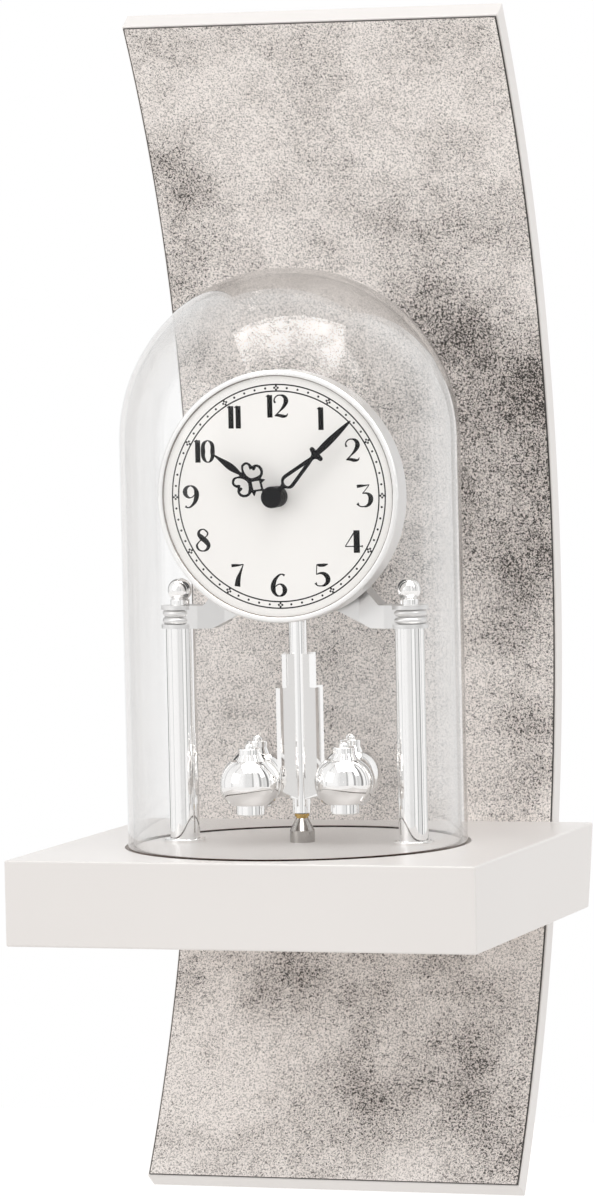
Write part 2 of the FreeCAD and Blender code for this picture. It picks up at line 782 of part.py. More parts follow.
def hour_hand():
    """Open square with two spurs, two curled scrolls and a short spear on a collet."""
    y = hour_hand_y
    collet = rod(hour_collet_radius, hour_collet_depth, 0, y + hand_thickness, dial_z, Y_AXIS)
    hand = fused([hand_disc(hub_radius, 0, 0, y), both_halves(hour_outline_shares, y), collet])
    hand = hand.cut(both_halves(hour_window_shares, y))
    for side in (-1, 1):
        hand = hand.cut(hand_blank(ornament_points(scroll_window_shares, side), y))
    depth = hand_thickness + hour_collet_depth
    hand = hand.cut(rod(hour_pipe_radius, depth, 0, y, dial_z, Y_AXIS))
    return turned_hand(hand, hour_angle_deg)


def cap_nut():
    front_y = minute_hand_y - cap_nut_height
    nut = rod(hub_radius, cap_nut_height, 0, front_y, dial_z, Y_AXIS)
    nut = nut.makeFillet(cap_nut_round, circle_edges(nut, hub_radius, front_y, 1))
    return nut.cut(rod(minute_arbor_radius, cap_nut_height / 2, 0, minute_hand_y - cap_nut_height / 2,
                       dial_z, Y_AXIS))


# Movement case


def rounded_case_block(half_width, bottom, top, corner, front_y, depth):
    block = slab(2 * half_width, depth, top - bottom, -half_width, front_y, bottom)
    corners = depth_edges(block)
    return block.makeFillet(corner, corners)


def peg_places():
    level = dial_z + case_below_arbor / 3
    return [(-peg_spacing / 2, level), (peg_spacing / 2, level)]


def post_places():
    inset = case_wall + 2 * post_radius
    low = bay_top_z + bay_wall + post_radius + post_radius / 2
    high = case_top_z - inset
    side = case_half_width - inset
    return [(-side, low), (side, low), (-side, high), (side, high)]


def gear_room(front_y, depth):
    return rounded_case_block(case_half_width - case_wall, bay_top_z + bay_wall, case_top_z - case_wall,
                              case_corner - case_wall, front_y, depth)


def case_front():
    body = rounded_case_block(case_half_width, case_bottom_z, case_top_z, case_corner,
                              case_front_y, case_depth)
    split_y = case_front_y + case_split
    lid_room = slab(2 * case_half_width, case_back_y - split_y, case_top_z - bay_top_z - bay_wall,
                    -case_half_width, split_y, bay_top_z + bay_wall)
    body = body.cut(lid_room)
    body = body.cut(gear_room(case_inner_front_y, split_y - case_inner_front_y))
    bay_half = case_half_width - case_wall
    bay_front_y = bay_axis_y - bay_radius
    bay = slab(2 * bay_half, 2 * bay_radius, 2 * bay_radius, -bay_half, bay_front_y,
               bay_axis_z - bay_radius)
    body = body.cut(bay)
    body = body.cut(rod(bush_flange_radius, case_wall, 0, case_front_y, dial_z, Y_AXIS))
    for x, z in post_places():
        body = body.fuse(rod(post_radius, train_plate_y - case_inner_front_y, x, case_inner_front_y,
                             z, Y_AXIS))
    for x, z in peg_places():
        body = body.fuse(rod(post_radius, plate_thickness, x, plate_front_y, z, Y_AXIS))
    for place in (motion_place(), knob_place()):
        body = body.cut(pivot_hole(place, axle_radius, case_inner_front_y - pivot_depth, pivot_depth))
    return body.removeSplitter()


def case_back():
    split_y = case_front_y + case_split
    bottom = bay_top_z + bay_wall
    outer = rounded_case_block(case_half_width, case_bottom_z, case_top_z, case_corner, split_y,
                               case_back_y - split_y)
    cover = outer.common(slab(2 * case_half_width, case_back_y - split_y, case_top_z - bottom,
                              -case_half_width, split_y, bottom))
    room_bottom = bottom + bay_wall
    room = rounded_case_block(case_half_width - case_wall, room_bottom, case_top_z - case_wall,
                              case_corner - case_wall, split_y, case_inner_back_y - split_y)
    cover = cover.cut(room)
    bosses = [rod(post_radius, case_inner_back_y - split_y, x, split_y, z, Y_AXIS)
              for x, z in screw_places()]
    bosses += [rod(post_radius, case_inner_back_y - board_back_y(), x, board_back_y(), z, Y_AXIS)
               for x, z in board_boss_places()]
    bosses += [rod(post_radius / 2, case_inner_back_y - stator_back_y(), x, stator_back_y(), z, Y_AXIS)
               for x, z in stator_boss_places()]
    cover = fused([cover] + bosses)
    for x, z in screw_places():
        cover = cover.cut(rod(case_screw_radius, case_screw_length, x,
                              case_back_y - case_screw_length, z, Y_AXIS))
    for place in (rotor_place(), idler_place(), seconds_place(), third_place()):
        cover = cover.cut(pivot_hole(place, axle_radius, case_inner_back_y, pivot_depth))
    cover = cover.cut(pivot_hole((0, dial_z), minute_tail_radius, case_inner_back_y, pivot_depth))
    return cover.cut(pivot_hole(knob_place(), knob_arbor_radius, case_inner_back_y, case_wall))


def screw_places():
    return post_places()[2:] + post_places()[:2]


def case_screws():
    screws = []
    for x, z in screw_places():
        shank = rod(case_screw_radius, case_screw_length, x, case_back_y - case_screw_length, z, Y_AXIS)
        head = rod(case_screw_head_radius, case_screw_head_height, x, case_back_y, z, Y_AXIS)
        slot = slab(2 * case_screw_head_radius, case_screw_head_height / 2, case_screw_head_radius / 4,
                    x - case_screw_head_radius, case_back_y + case_screw_head_height / 2,
                    z - case_screw_head_radius / 8)
        screws.append(shank.fuse(head).cut(slot))
    return Part.makeCompound(screws)


def pivot_hole(place, radius, start_y, depth):
    x, z = place
    return rod(radius + running_play, depth, x, start_y, z, Y_AXIS)


def train_plate():
    plate = gear_room(train_plate_y, plate_layer_thickness)
    inset = layer_gap / 2
    plate = plate.common(rounded_case_block(case_half_width - case_wall - inset,
                                            bay_top_z + bay_wall + inset, case_top_z - case_wall - inset,
                                            case_corner - case_wall, train_plate_y,
                                            plate_layer_thickness))
    for place in (motion_place(), third_place(), seconds_place(), idler_place(), rotor_place()):
        plate = plate.cut(pivot_hole(place, axle_radius, train_plate_y, plate_layer_thickness))
    plate = plate.cut(pivot_hole((0, dial_z), minute_arbor_radius, train_plate_y, plate_layer_thickness))
    return plate.cut(pivot_hole(knob_place(), knob_arbor_radius, train_plate_y, plate_layer_thickness))


# Wheels. A place is (x, z); angles run from +X towards +Z.


def beside(place, module, teeth, mate_teeth, bearing_deg):
    """Where a mating wheel's axle stands."""
    distance = module * (teeth + mate_teeth) / 2
    bearing = math.radians(bearing_deg)
    return place[0] + distance * math.cos(bearing), place[1] + distance * math.sin(bearing)


def motion_place():
    return beside((0, dial_z), motion_module, minute_pinion_teeth, motion_teeth, motion_bearing_deg)


def knob_place():
    return beside(motion_place(), motion_module, motion_teeth, minute_pinion_teeth, knob_bearing_deg)


def third_place():
    return beside((0, dial_z), centre_module, centre_teeth, small_pinion_teeth, third_bearing_deg)


def seconds_place():
    return beside(third_place(), third_module, third_teeth, small_pinion_teeth, seconds_bearing_deg)


def idler_place():
    return beside(seconds_place(), seconds_module, seconds_teeth, small_pinion_teeth, idler_bearing_deg)


def rotor_place():
    return beside(idler_place(), idler_module, idler_teeth, small_pinion_teeth, rotor_bearing_deg)


def mate_phase(phase, teeth, mate_teeth, bearing_deg):
    """Turn of a wheel, in degrees, that puts its gap on the mate's tooth."""
    past = (bearing_deg - phase) * teeth / 360.0
    return bearing_deg + 180.0 - (360.0 / mate_teeth) * (0.5 - past)


def toothed(place, teeth, module, phase, front_y, thickness):
    """Spur wheel with involute flanks."""
    pressure = math.radians(pressure_angle_deg)
    pitch = teeth * module / 2
    base = pitch * math.cos(pressure)
    tip, root = pitch + addendum_share * module, pitch - dedendum_share * module
    pitch_half = math.pi * tooth_share / teeth

    def half_angle(radius):
        if radius <= base:
            return pitch_half + math.tan(pressure) - pressure
        roll = math.acos(base / radius)
        return pitch_half + math.tan(pressure) - pressure - math.tan(roll) + roll

    radii = [root, max(base, root + (pitch - root) / 8), pitch, (pitch + tip) / 2, tip]
    outline = []
    for tooth in range(teeth):
        middle = math.radians(phase) + 2 * math.pi * tooth / teeth
        for side, sequence in ((-1, radii), (1, reversed(radii))):
            for radius in sequence:
                angle = middle + side * half_angle(radius)
                outline.append((place[0] + radius * math.cos(angle), place[1] + radius * math.sin(angle)))
    return upright_prism(outline, front_y, thickness)


def axle(place, radius, start_y, end_y):
    x, z = place
    return rod(radius, end_y - start_y, x, start_y, z, Y_AXIS)


def minute_phase():
    return motion_bearing_deg


def motion_phase():
    return mate_phase(minute_phase(), minute_pinion_teeth, motion_teeth, motion_bearing_deg)


def minute_arbor():
    front_y = minute_hand_y - cap_nut_height / 2
    shaft_end_y = centre_layer_y + wheel_thickness + layer_gap / 2
    shaft = axle((0, dial_z), minute_arbor_radius, front_y, shaft_end_y)
    tail = axle((0, dial_z), minute_tail_radius, centre_layer_y, axle_end_y)
    pinion = toothed((0, dial_z), minute_pinion_teeth, motion_module, minute_phase(), motion_layer_y,
                     wheel_thickness)
    return fused([shaft, tail, pinion])


def motion_wheel():
    place = motion_place()
    wheel = toothed(place, motion_teeth, motion_module, motion_phase(), motion_layer_y, wheel_thickness)
    pinion = toothed(place, motion_pinion_teeth, hour_module, motion_phase(), hour_layer_y,
                     wheel_thickness + layer_gap)
    pin = axle(place, axle_radius, front_pivot_y, train_plate_y + plate_layer_thickness)
    return fused([wheel, pinion, pin])


def hour_wheel():
    phase = mate_phase(motion_phase(), motion_pinion_teeth, hour_teeth, motion_bearing_deg + 180)
    wheel = toothed((0, dial_z), hour_teeth, hour_module, phase, hour_layer_y, wheel_thickness)
    back_y = hour_layer_y + wheel_thickness
    pipe = axle((0, dial_z), hour_pipe_radius, hour_hand_y - layer_gap / 2, back_y)
    bore = axle((0, dial_z), hour_pipe_bore, hour_hand_y - overrun, back_y + overrun)
    return wheel.fuse(pipe).cut(bore)


def setting_knob():
    place = knob_place()
    phase = mate_phase(motion_phase(), motion_teeth, minute_pinion_teeth, knob_bearing_deg)
    pinion = toothed(place, minute_pinion_teeth, motion_module, phase, motion_layer_y, wheel_thickness)
    pin = axle(place, axle_radius, front_pivot_y, motion_layer_y)
    shaft = axle(place, knob_arbor_radius, motion_layer_y, case_back_y + knob_gap)
    knob = axle(place, knob_radius, case_back_y + knob_gap, case_back_y + knob_gap + knob_height)
    knob = knob.makeFillet(knob_rib_radius, circle_edges(knob, knob_radius))
    for rib in range(knob_ribs):
        turn = 2 * math.pi * rib / knob_ribs
        notch = rod(knob_rib_radius, knob_height, place[0] + knob_radius * math.cos(turn),
                    case_back_y + knob_gap, place[1] + knob_radius * math.sin(turn), Y_AXIS)
        knob = knob.cut(notch)
    return fused([pinion, pin, shaft, knob])


def centre_phase():
    return mate_phase(third_phase(), small_pinion_teeth, centre_teeth, third_bearing_deg + 180)


def third_phase():
    return mate_phase(seconds_phase(), small_pinion_teeth, third_teeth, seconds_bearing_deg + 180)


def seconds_phase():
    return mate_phase(idler_phase(), small_pinion_teeth, seconds_teeth, idler_bearing_deg + 180)


def idler_phase():
    return mate_phase(0, small_pinion_teeth, idler_teeth, rotor_bearing_deg + 180)


def centre_wheel():
    wheel = toothed((0, dial_z), centre_teeth, centre_module, centre_phase(), centre_layer_y,
                    wheel_thickness)
    return wheel.cut(pivot_hole((0, dial_z), minute_arbor_radius, centre_layer_y, wheel_thickness))


def train_wheel(place, teeth, module, phase, layer_y, pinion_module, pinion_layer_y):
    """A wheel, the pinion in front of it that drives the next wheel, and their axle."""
    wheel = toothed(place, teeth, module, phase, layer_y, wheel_thickness)
    pinion = toothed(place, small_pinion_teeth, pinion_module, phase, pinion_layer_y - pinion_overlap,
                     layer_y - pinion_layer_y + pinion_overlap)
    return fused([wheel, pinion, axle(place, axle_radius, train_plate_y, axle_end_y)])


def third_wheel():
    return train_wheel(third_place(), third_teeth, third_module, third_phase(), third_layer_y,
                       centre_module, centre_layer_y)


def seconds_wheel():
    return train_wheel(seconds_place(), seconds_teeth, seconds_module, seconds_phase(), seconds_layer_y,
                       third_module, third_layer_y)


def idler_wheel():
    return train_wheel(idler_place(), idler_teeth, idler_module, idler_phase(), idler_layer_y,
                       seconds_module, seconds_layer_y)


def rotor():
    place = rotor_place()
    pinion = toothed(place, small_pinion_teeth, idler_module, 0, idler_layer_y - pinion_overlap,
                     rotor_layer_y - idler_layer_y + pinion_overlap)
    magnet = axle(place, rotor_magnet_radius, rotor_layer_y, rotor_layer_y + rotor_magnet_height)
    return fused([pinion, magnet, axle(place, axle_radius, train_plate_y, axle_end_y)])


# Coil, stator and board


def stator_front_y():
    return rotor_layer_y + (rotor_magnet_height - stator_thickness) / 2


def stator_back_y():
    return stator_front_y() + stator_thickness


def coil_place():
    x, z = rotor_place()
    return x + stator_half + coil_offset / 2, z + stator_half - stator_bar / 2


def stator_boss_places():
    x, z = rotor_place()
    inset = stator_half - post_radius / 2
    far_x = coil_place()[0] + coil_length + 2 * coil_offset / 8
    return [(x - inset, z + inset), (far_x, coil_place()[1])]


def stator():
    """Soft-iron plate round the rotor with a bar through the coil."""
    x, z = rotor_place()
    front_y = stator_front_y()
    pole = slab(2 * stator_half, stator_thickness, 2 * stator_half, x - stator_half, front_y,
                z - stator_half)
    start = x + stator_half - overrun
    length = coil_place()[0] + coil_length + coil_offset / 2 - start
    bar = slab(length, stator_thickness, stator_bar, start, front_y, coil_place()[1] - stator_bar / 2)
    plate = pole.fuse(bar).removeSplitter()
    return plate.cut(rod(rotor_magnet_radius + stator_bore_play, stator_thickness, x, front_y, z, Y_AXIS))


def stepper_coil():
    x, z = coil_place()
    middle_y = stator_front_y() + stator_thickness / 2
    winding = rod(coil_radius, coil_length, x, middle_y, z, X_AXIS)
    below = slab(coil_length, coil_radius, 2 * coil_radius, x, stator_back_y() + board_standoff / 2,
                 z - coil_radius)
    core = slab(coil_length, stator_thickness, stator_bar, x, stator_front_y(), z - stator_bar / 2)
    return winding.cut(below).cut(core)


def board_back_y():
    return case_inner_back_y - board_standoff


def board_boss_places():
    low = dial_z - board_drop
    inset = 2 * post_radius
    return [(board_offset_x + inset, low + inset),
            (board_offset_x + board_width - inset, low + board_height - inset)]


def circuit_board():
    board = slab(board_width, board_thickness, board_height, board_offset_x,
                 board_back_y() - board_thickness, dial_z - board_drop)
    chip_size = board_height / 3
    chip = slab(chip_size, board_thickness, chip_size, board_offset_x + board_width / 2,
                board_back_y() - 2 * board_thickness, dial_z - board_drop + chip_size)
    return board.fuse(chip)


# Cell and contacts


def battery():
    start = -(cell_length + cell_nub_length) / 2
    cell = rod(cell_radius, cell_length, start, bay_axis_y, bay_axis_z, X_AXIS)
    cell = cell.makeFillet(cell_radius / 12, circle_edges(cell, cell_radius))
    nub = rod(cell_nub_radius, cell_nub_length, start + cell_length, bay_axis_y, bay_axis_z, X_AXIS)
    return cell.fuse(nub)


def contact(towards_nub):
    """Spring strip on the bay's end wall, bowed towards the cell."""
    wall_x = case_half_width - case_wall
    end_x = (cell_length + cell_nub_length) / 2 + contact_gap
    strip = slab(contact_thickness, contact_width, 2 * cell_radius, wall_x - contact_thickness,
                 bay_axis_y - contact_width / 2, bay_axis_z - cell_radius)
    reach = wall_x - contact_thickness - end_x
    bow = Part.makeCone(cell_nub_radius / 2, cell_nub_radius, reach, Vector(end_x, bay_axis_y, bay_axis_z),
                        X_AXIS)
    shape = strip.fuse(bow)
    return shape if towards_nub else mirrored(shape)


# Swing unit and pendulum


def swing_case():
    cup = rod(swing_case_radius, swing_case_height, 0, pendulum_y, swing_bottom_z)
    room = rod(swing_case_radius - swing_case_wall, swing_case_height - swing_case_wall, 0, pendulum_y,
               swing_bottom_z + swing_case_wall)
    return cup.cut(room).cut(rod(hanging_pin_radius, swing_case_wall, 0, pendulum_y, swing_bottom_z))


def swing_coil():
    floor_z = swing_bottom_z + swing_case_wall
    coil = rod(swing_coil_radius, swing_coil_height, 0, pendulum_y, floor_z)
    return coil.cut(rod(swing_coil_bore, swing_coil_height, 0, pendulum_y, floor_z))


def hanging_head_z():
    return tube_top_z + cap_flange_height - cap_ledge_height - hang_gap - hanging_head_height


def hanging_pin():
    floor_z = swing_bottom_z + swing_case_wall
    pin = rod(hanging_pin_radius, floor_z - hanging_head_z(), 0, pendulum_y, hanging_head_z())
    head = rod(hanging_head_radius, hanging_head_height, 0, pendulum_y, hanging_head_z())
    cap = rod(pin_cap_radius, pin_cap_height, 0, pendulum_y, floor_z)
    return fused([pin, head, cap])


def pendulum_cap():
    """Plug in the tube's top; its ledge hangs on the pin's head."""
    flange = rod(magnet_radius, cap_flange_height, 0, pendulum_y, tube_top_z)
    plug = rod(tube_radius - tube_wall, cap_plug_height, 0, pendulum_y, tube_top_z - cap_plug_height)
    top = tube_top_z + cap_flange_height
    bore = rod(hanging_pin_radius + running_play, cap_ledge_height, 0, pendulum_y, top - cap_ledge_height)
    room_height = cap_plug_height + cap_flange_height - cap_ledge_height
    room = rod(cap_room_radius, room_height, 0, pendulum_y, tube_top_z - cap_plug_height)
    return flange.fuse(plug).cut(bore).cut(room)


def swing_magnet():
    ring = rod(magnet_radius, magnet_height, 0, pendulum_y, cap_flange_top_z)
    return ring.cut(rod(magnet_bore, magnet_height, 0, pendulum_y, cap_flange_top_z))


def pendulum_tube():
    """Hollow tube on the cross casting's spigot."""
    bottom = at_stage(fin_top)
    tube = rod(tube_radius, tube_top_z - bottom, 0, pendulum_y, bottom)
    return tube.cut(rod(tube_radius - tube_wall, tube_top_z - bottom, 0, pendulum_y, bottom))


def ball_places():
    places = []
    for index in range(ball_count):
        bearing = math.radians(ball_bearing_deg + 360.0 * index / ball_count)
        places.append((ball_orbit * math.cos(bearing), pendulum_y + ball_orbit * math.sin(bearing)))
    return places


def radial_plate(outline, thickness, bearing_deg):
    """A flat upright plate of (reach, height) points that stands out from the pendulum's axis."""
    points = [Vector(reach, pendulum_y - thickness / 2, height) for reach, height in outline]
    plate = Part.Face(Part.makePolygon(points + points[:1])).extrude(Vector(0, thickness, 0))
    plate.rotate(Vector(0, pendulum_y, 0), Z_AXIS, bearing_deg)
    return plate


def cross_bearings():
    return [ball_bearing_deg + 360.0 * index / ball_count for index in range(ball_count)]


def pendulum_cross():
    """One casting: core, stepped cross fins and the four arms that carry the balls."""
    core = rod(tube_radius, fin_top - tube_bottom, 0, pendulum_y, at_stage(tube_bottom))
    spigot = rod(tube_radius - tube_wall, spigot_height, 0, pendulum_y, at_stage(fin_top))
    fin = [(0, at_stage(fin_bottom)), (fin_lower_reach, at_stage(fin_bottom)),
           (fin_lower_reach, at_stage(fin_step)), (fin_upper_reach, at_stage(fin_step)),
           (fin_upper_reach, at_stage(fin_top)), (0, at_stage(fin_top))]
    arm_height = ball_height - (arm_top + arm_tip_bottom) / 2
    seat = ball_orbit - math.sqrt(ball_radius ** 2 - arm_height ** 2) + arm_bite
    arm = [(0, at_stage(arm_root_bottom)), (tube_radius, at_stage(arm_root_bottom)),
           (seat, at_stage(arm_tip_bottom)), (seat, at_stage(arm_top)), (0, at_stage(arm_top))]
    plates = [radial_plate(fin, fin_thickness, bearing) for bearing in cross_bearings()]
    plates += [radial_plate(arm, arm_width, bearing) for bearing in cross_bearings()]
    cross = fused([core, spigot] + plates)
    for x, y in ball_places():
        cross = cross.cut(Part.makeSphere(ball_radius, Vector(x, y, at_stage(ball_height))))
    return cross.cut(rod(guide_pin_radius, guide_plug_height, 0, pendulum_y, at_stage(tube_bottom)))


def pendulum_ball(x, y):
    centre_z = at_stage(ball_height)
    low_deg = -math.degrees(math.asin(ball_flat_below / ball_radius))
    high_deg = math.degrees(math.asin(ball_flat_above / ball_radius))
    ball = Part.makeSphere(ball_radius, Vector(x, y, centre_z), Z_AXIS, low_deg, high_deg, 360)
    flats = [(math.sqrt(ball_radius ** 2 - ball_flat_below ** 2), centre_z - ball_flat_below),
             (math.sqrt(ball_radius ** 2 - ball_flat_above ** 2), centre_z + ball_flat_above)]
    for radius, level in flats:
        ball = ball.makeFillet(ball_edge_round, circle_edges(ball, radius, level))
    return ball.cut(rod(stem_radius + stem_play, ball_flat_below + ball_flat_above, x, y,
                        centre_z - ball_flat_below))


def ball_caps():
    """Turned cap, little knob and stem on each ball."""
    caps = []
    seat_z = at_stage(ball_height) + ball_flat_above
    disc_z = seat_z + cap_cone_height
    top_z = disc_z + cap_disc_height
    stem_z = at_stage(ball_height) - ball_flat_below
    for x, y in ball_places():
        disc = rod(cap_disc_radius, cap_disc_height, x, y, disc_z)
        disc = disc.makeFillet(cap_disc_round, circle_edges(disc, cap_disc_radius, top_z))
        foot = Vector(x, y, seat_z)
        cone = Part.makeCone(cap_cone_radius, cap_disc_radius, cap_cone_height, foot, Z_AXIS)
        knob = Part.makeSphere(knob_ball_radius, Vector(x, y, top_z + knob_ball_radius / 8))
        stem = rod(stem_radius, seat_z - stem_z, x, y, stem_z)
        caps.append(fused([cone, disc, knob, stem]))
    return Part.makeCompound(caps)


def ball_stubs():
    top_z = at_stage(ball_height) - ball_flat_below
    stubs = []
    for x, y in ball_places():
        stub = rod(stub_radius, stub_height, x, y, top_z - stub_height)
        stub = stub.makeFillet(cap_disc_round, circle_edges(stub, stub_radius, top_z - stub_height))
        stubs.append(stub)
    return Part.makeCompound(stubs)


def guide_pin():
    length = guide_pin_drop + guide_plug_height
    return rod(guide_pin_radius, length, 0, pendulum_y, at_stage(tube_bottom) - guide_pin_drop)


def guide_cup():
    profile = [(0, shelf_top_z), (cup_radius, shelf_top_z), (cup_radius, at_stage(cup_height)),
               (cup_cone_top_radius, at_stage(cup_height + cup_cone_height)),
               (0, at_stage(cup_height + cup_cone_height))]
    cup = turned_z(profile, 0, pendulum_y)
    cup = cup.cut(rod(cup_bore_radius, cup_height + cup_cone_height - cup_bore_floor, 0, pendulum_y,
                      at_stage(cup_bore_floor)))
    return cup.fuse(rod(cup_stud_radius, cup_stud_length, 0, pendulum_y, shelf_top_z - cup_stud_length))


def cup_ring():
    base = cup_height + cup_cone_height
    ring = rod(ring_neck_radius, ring_neck_height, 0, pendulum_y, at_stage(base))
    ring = ring.fuse(rod(ring_radius, ring_height, 0, pendulum_y, at_stage(base + ring_neck_height)))
    return ring.cut(rod(ring_bore_radius, ring_neck_height + ring_height, 0, pendulum_y, at_stage(base)))


def all_parts():
    parts = {
        "wall_panel": wall_panel(), "decor_sheet": decor_sheet(), "hanging_block": hanging_block(),
        "hanger_plates": hanger_plates(), "hanger_screws": hanger_screws(), "shelf": shelf(),
        "shelf_screws": shelf_screws(), "glass_dome": glass_dome(), "tie_rods": tie_rods(),
        "tie_nuts": tie_nuts(), "bridge": bridge(), "bezel_drum": bezel_drum(),
        "dial_plate": dial_plate(), "centre_bush": centre_bush(), "dial_nut": dial_nut(),
        "minute_hand": minute_hand(), "hour_hand": hour_hand(), "cap_nut": cap_nut(),
        "case_front": case_front(), "case_back": case_back(), "case_screws": case_screws(),
        "train_plate": train_plate(), "minute_arbor": minute_arbor(), "motion_wheel": motion_wheel(),
        "hour_wheel": hour_wheel(), "setting_knob": setting_knob(), "centre_wheel": centre_wheel(),
        "third_wheel": third_wheel(), "seconds_wheel": seconds_wheel(), "idler_wheel": idler_wheel(),
        "rotor": rotor(), "stator": stator(), "stepper_coil": stepper_coil(),
        "circuit_board": circuit_board(), "battery": battery(), "contact_plus": contact(True),
        "contact_minus": contact(False), "swing_case": swing_case(), "swing_coil": swing_coil(),
        "hanging_pin": hanging_pin(), "pendulum_cap": pendulum_cap(), "swing_magnet": swing_magnet(),
        "pendulum_tube": pendulum_tube(), "pendulum_cross": pendulum_cross(),
        "ball_caps": ball_caps(), "ball_stubs": ball_stubs(), "guide_pin": guide_pin(),
        "guide_cup": guide_cup(), "cup_ring": cup_ring(),
    }
    for side, (x, y) in column_places().items():
        parts["column_" + side] = column(x, y)
        parts["foot_" + side] = column_foot(x, y)
        parts["finial_" + side] = finial(x, y)
    names = ("ball_right_front", "ball_right_back", "ball_left_back", "ball_left_front")
    for name, (x, y) in zip(names, ball_places()):
        parts[name] = pendulum_ball(x, y)
    return parts


def main():
    os.makedirs("parts", exist_ok=True)
    for node, shape in all_parts().items():
        shape.exportStep("parts/" + node + ".step")
        box = shape.BoundBox
        print("%-18s solids %2d valid %s volume %10.2f  x %.1f %.1f  y %.1f %.1f  z %.1f %.1f" % (
            node, len(shape.Solids), shape.isValid(), shape.Volume, box.XMin, box.XMax, box.YMin,
            box.YMax, box.ZMin, box.ZMax))


main()
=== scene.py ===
import json
import math

import bmesh
import bpy
from bpy.props import FloatProperty, FloatVectorProperty, PointerProperty
from mathutils import Matrix, Vector


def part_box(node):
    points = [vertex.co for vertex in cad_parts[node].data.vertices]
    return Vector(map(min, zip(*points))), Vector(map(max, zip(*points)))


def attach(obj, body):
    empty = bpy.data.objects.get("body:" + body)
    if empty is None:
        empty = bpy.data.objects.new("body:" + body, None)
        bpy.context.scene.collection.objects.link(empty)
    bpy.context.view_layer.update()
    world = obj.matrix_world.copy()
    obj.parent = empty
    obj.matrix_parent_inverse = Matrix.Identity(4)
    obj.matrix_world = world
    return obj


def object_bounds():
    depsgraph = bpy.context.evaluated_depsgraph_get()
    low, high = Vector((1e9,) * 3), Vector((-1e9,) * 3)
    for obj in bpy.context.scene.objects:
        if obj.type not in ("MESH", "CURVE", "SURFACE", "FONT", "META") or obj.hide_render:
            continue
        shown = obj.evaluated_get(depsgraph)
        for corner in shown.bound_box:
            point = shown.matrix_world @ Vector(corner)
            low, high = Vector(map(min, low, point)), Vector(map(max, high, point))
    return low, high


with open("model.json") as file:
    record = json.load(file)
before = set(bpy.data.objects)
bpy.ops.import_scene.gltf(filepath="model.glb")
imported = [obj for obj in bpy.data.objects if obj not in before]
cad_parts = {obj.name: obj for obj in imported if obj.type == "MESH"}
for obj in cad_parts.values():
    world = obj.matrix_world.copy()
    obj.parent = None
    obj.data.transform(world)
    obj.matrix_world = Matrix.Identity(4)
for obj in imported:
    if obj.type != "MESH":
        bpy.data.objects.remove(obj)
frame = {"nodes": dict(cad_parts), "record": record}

bl_info = {
    "name": "Dome clock on a wall console",
    "version": (1, 0, 0),
    "blender": (4, 5, 0),
    "location": "View3D > Sidebar > Dome Clock",
    "description": "Finishes, dial printing and studio for a pendulum clock under a glass dome",
    "category": "Object",
}

MM = 0.001
CAD_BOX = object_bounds()
SLOT_OF = {part["node"]: part["material_slot"] for part in frame["record"]["subparts"]}
DIAL_LOW, DIAL_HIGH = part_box("dial_plate")
DIAL_FACE_Y = DIAL_LOW.y
DIAL_X = (DIAL_LOW.x + DIAL_HIGH.x) / 2
DIAL_Z = (DIAL_LOW.z + DIAL_HIGH.z) / 2


def linear(code):
    """Linear colour of an sRGB hex code."""
    shares = [int(code[i:i + 2], 16) / 255 for i in (0, 2, 4)]
    return tuple(s / 12.92 if s <= 0.04045 else ((s + 0.055) / 1.055) ** 2.4 for s in shares)


def opaque(colour):
    """A colour with full cover."""
    return (*colour, 1.0)


def dimmed(colour, share):
    """A share of a colour."""
    return tuple(part * share for part in colour)


# Sizes and colours that a user would change


class ConsoleSettings(bpy.types.PropertyGroup):
    lacquer_colour: FloatVectorProperty(
        name="Lacquer", description="White lacquer of the panel and the shelf",
        subtype="COLOR", size=3, min=0, max=1, default=linear("e7e3e0"))
    decor_light: FloatVectorProperty(
        name="Decor light", description="Palest tone of the concrete-look sheet",
        subtype="COLOR", size=3, min=0, max=1, default=linear("fcf5f0"))
    decor_mid: FloatVectorProperty(
        name="Decor middle", description="Cloudy grey of the concrete-look sheet",
        subtype="COLOR", size=3, min=0, max=1, default=linear("cec5bf"))
    decor_dark: FloatVectorProperty(
        name="Decor speckle", description="Dark specks of the concrete-look sheet",
        subtype="COLOR", size=3, min=0, max=1, default=linear("332f2c"))
    speck_size: FloatProperty(
        name="Speck size", description="Size of one dark speck",
        subtype="DISTANCE", unit="LENGTH", min=0.0002, max=0.01, default=0.0008)
    cloud_size: FloatProperty(
        name="Cloud size", description="Size of the cloudy patches",
        subtype="DISTANCE", unit="LENGTH", min=0.01, max=0.3, default=0.045)


class ClockSettings(bpy.types.PropertyGroup):
    chrome_colour: FloatVectorProperty(
        name="Chrome", description="Reflection colour of the bright plate",
        subtype="COLOR", size=3, min=0, max=1, default=linear("f8f7f6"))
    glass_tint: FloatVectorProperty(
        name="Glass", description="Tint of the blown glass",
        subtype="COLOR", size=3, min=0, max=1, default=linear("ffffff"))
    dial_colour: FloatVectorProperty(
        name="Dial", description="Enamel of the dial",
        subtype="COLOR", size=3, min=0, max=1, default=linear("f8f6f3"))
    ink_colour: FloatVectorProperty(
        name="Ink", description="Ink of the dial printing",
        subtype="COLOR", size=3, min=0, max=1, default=linear("08090b"))
    ink_height: FloatProperty(
        name="Ink height", description="How far the printing stands off the dial",
        subtype="DISTANCE", unit="LENGTH", min=0.00001, max=0.0002, default=0.00004)


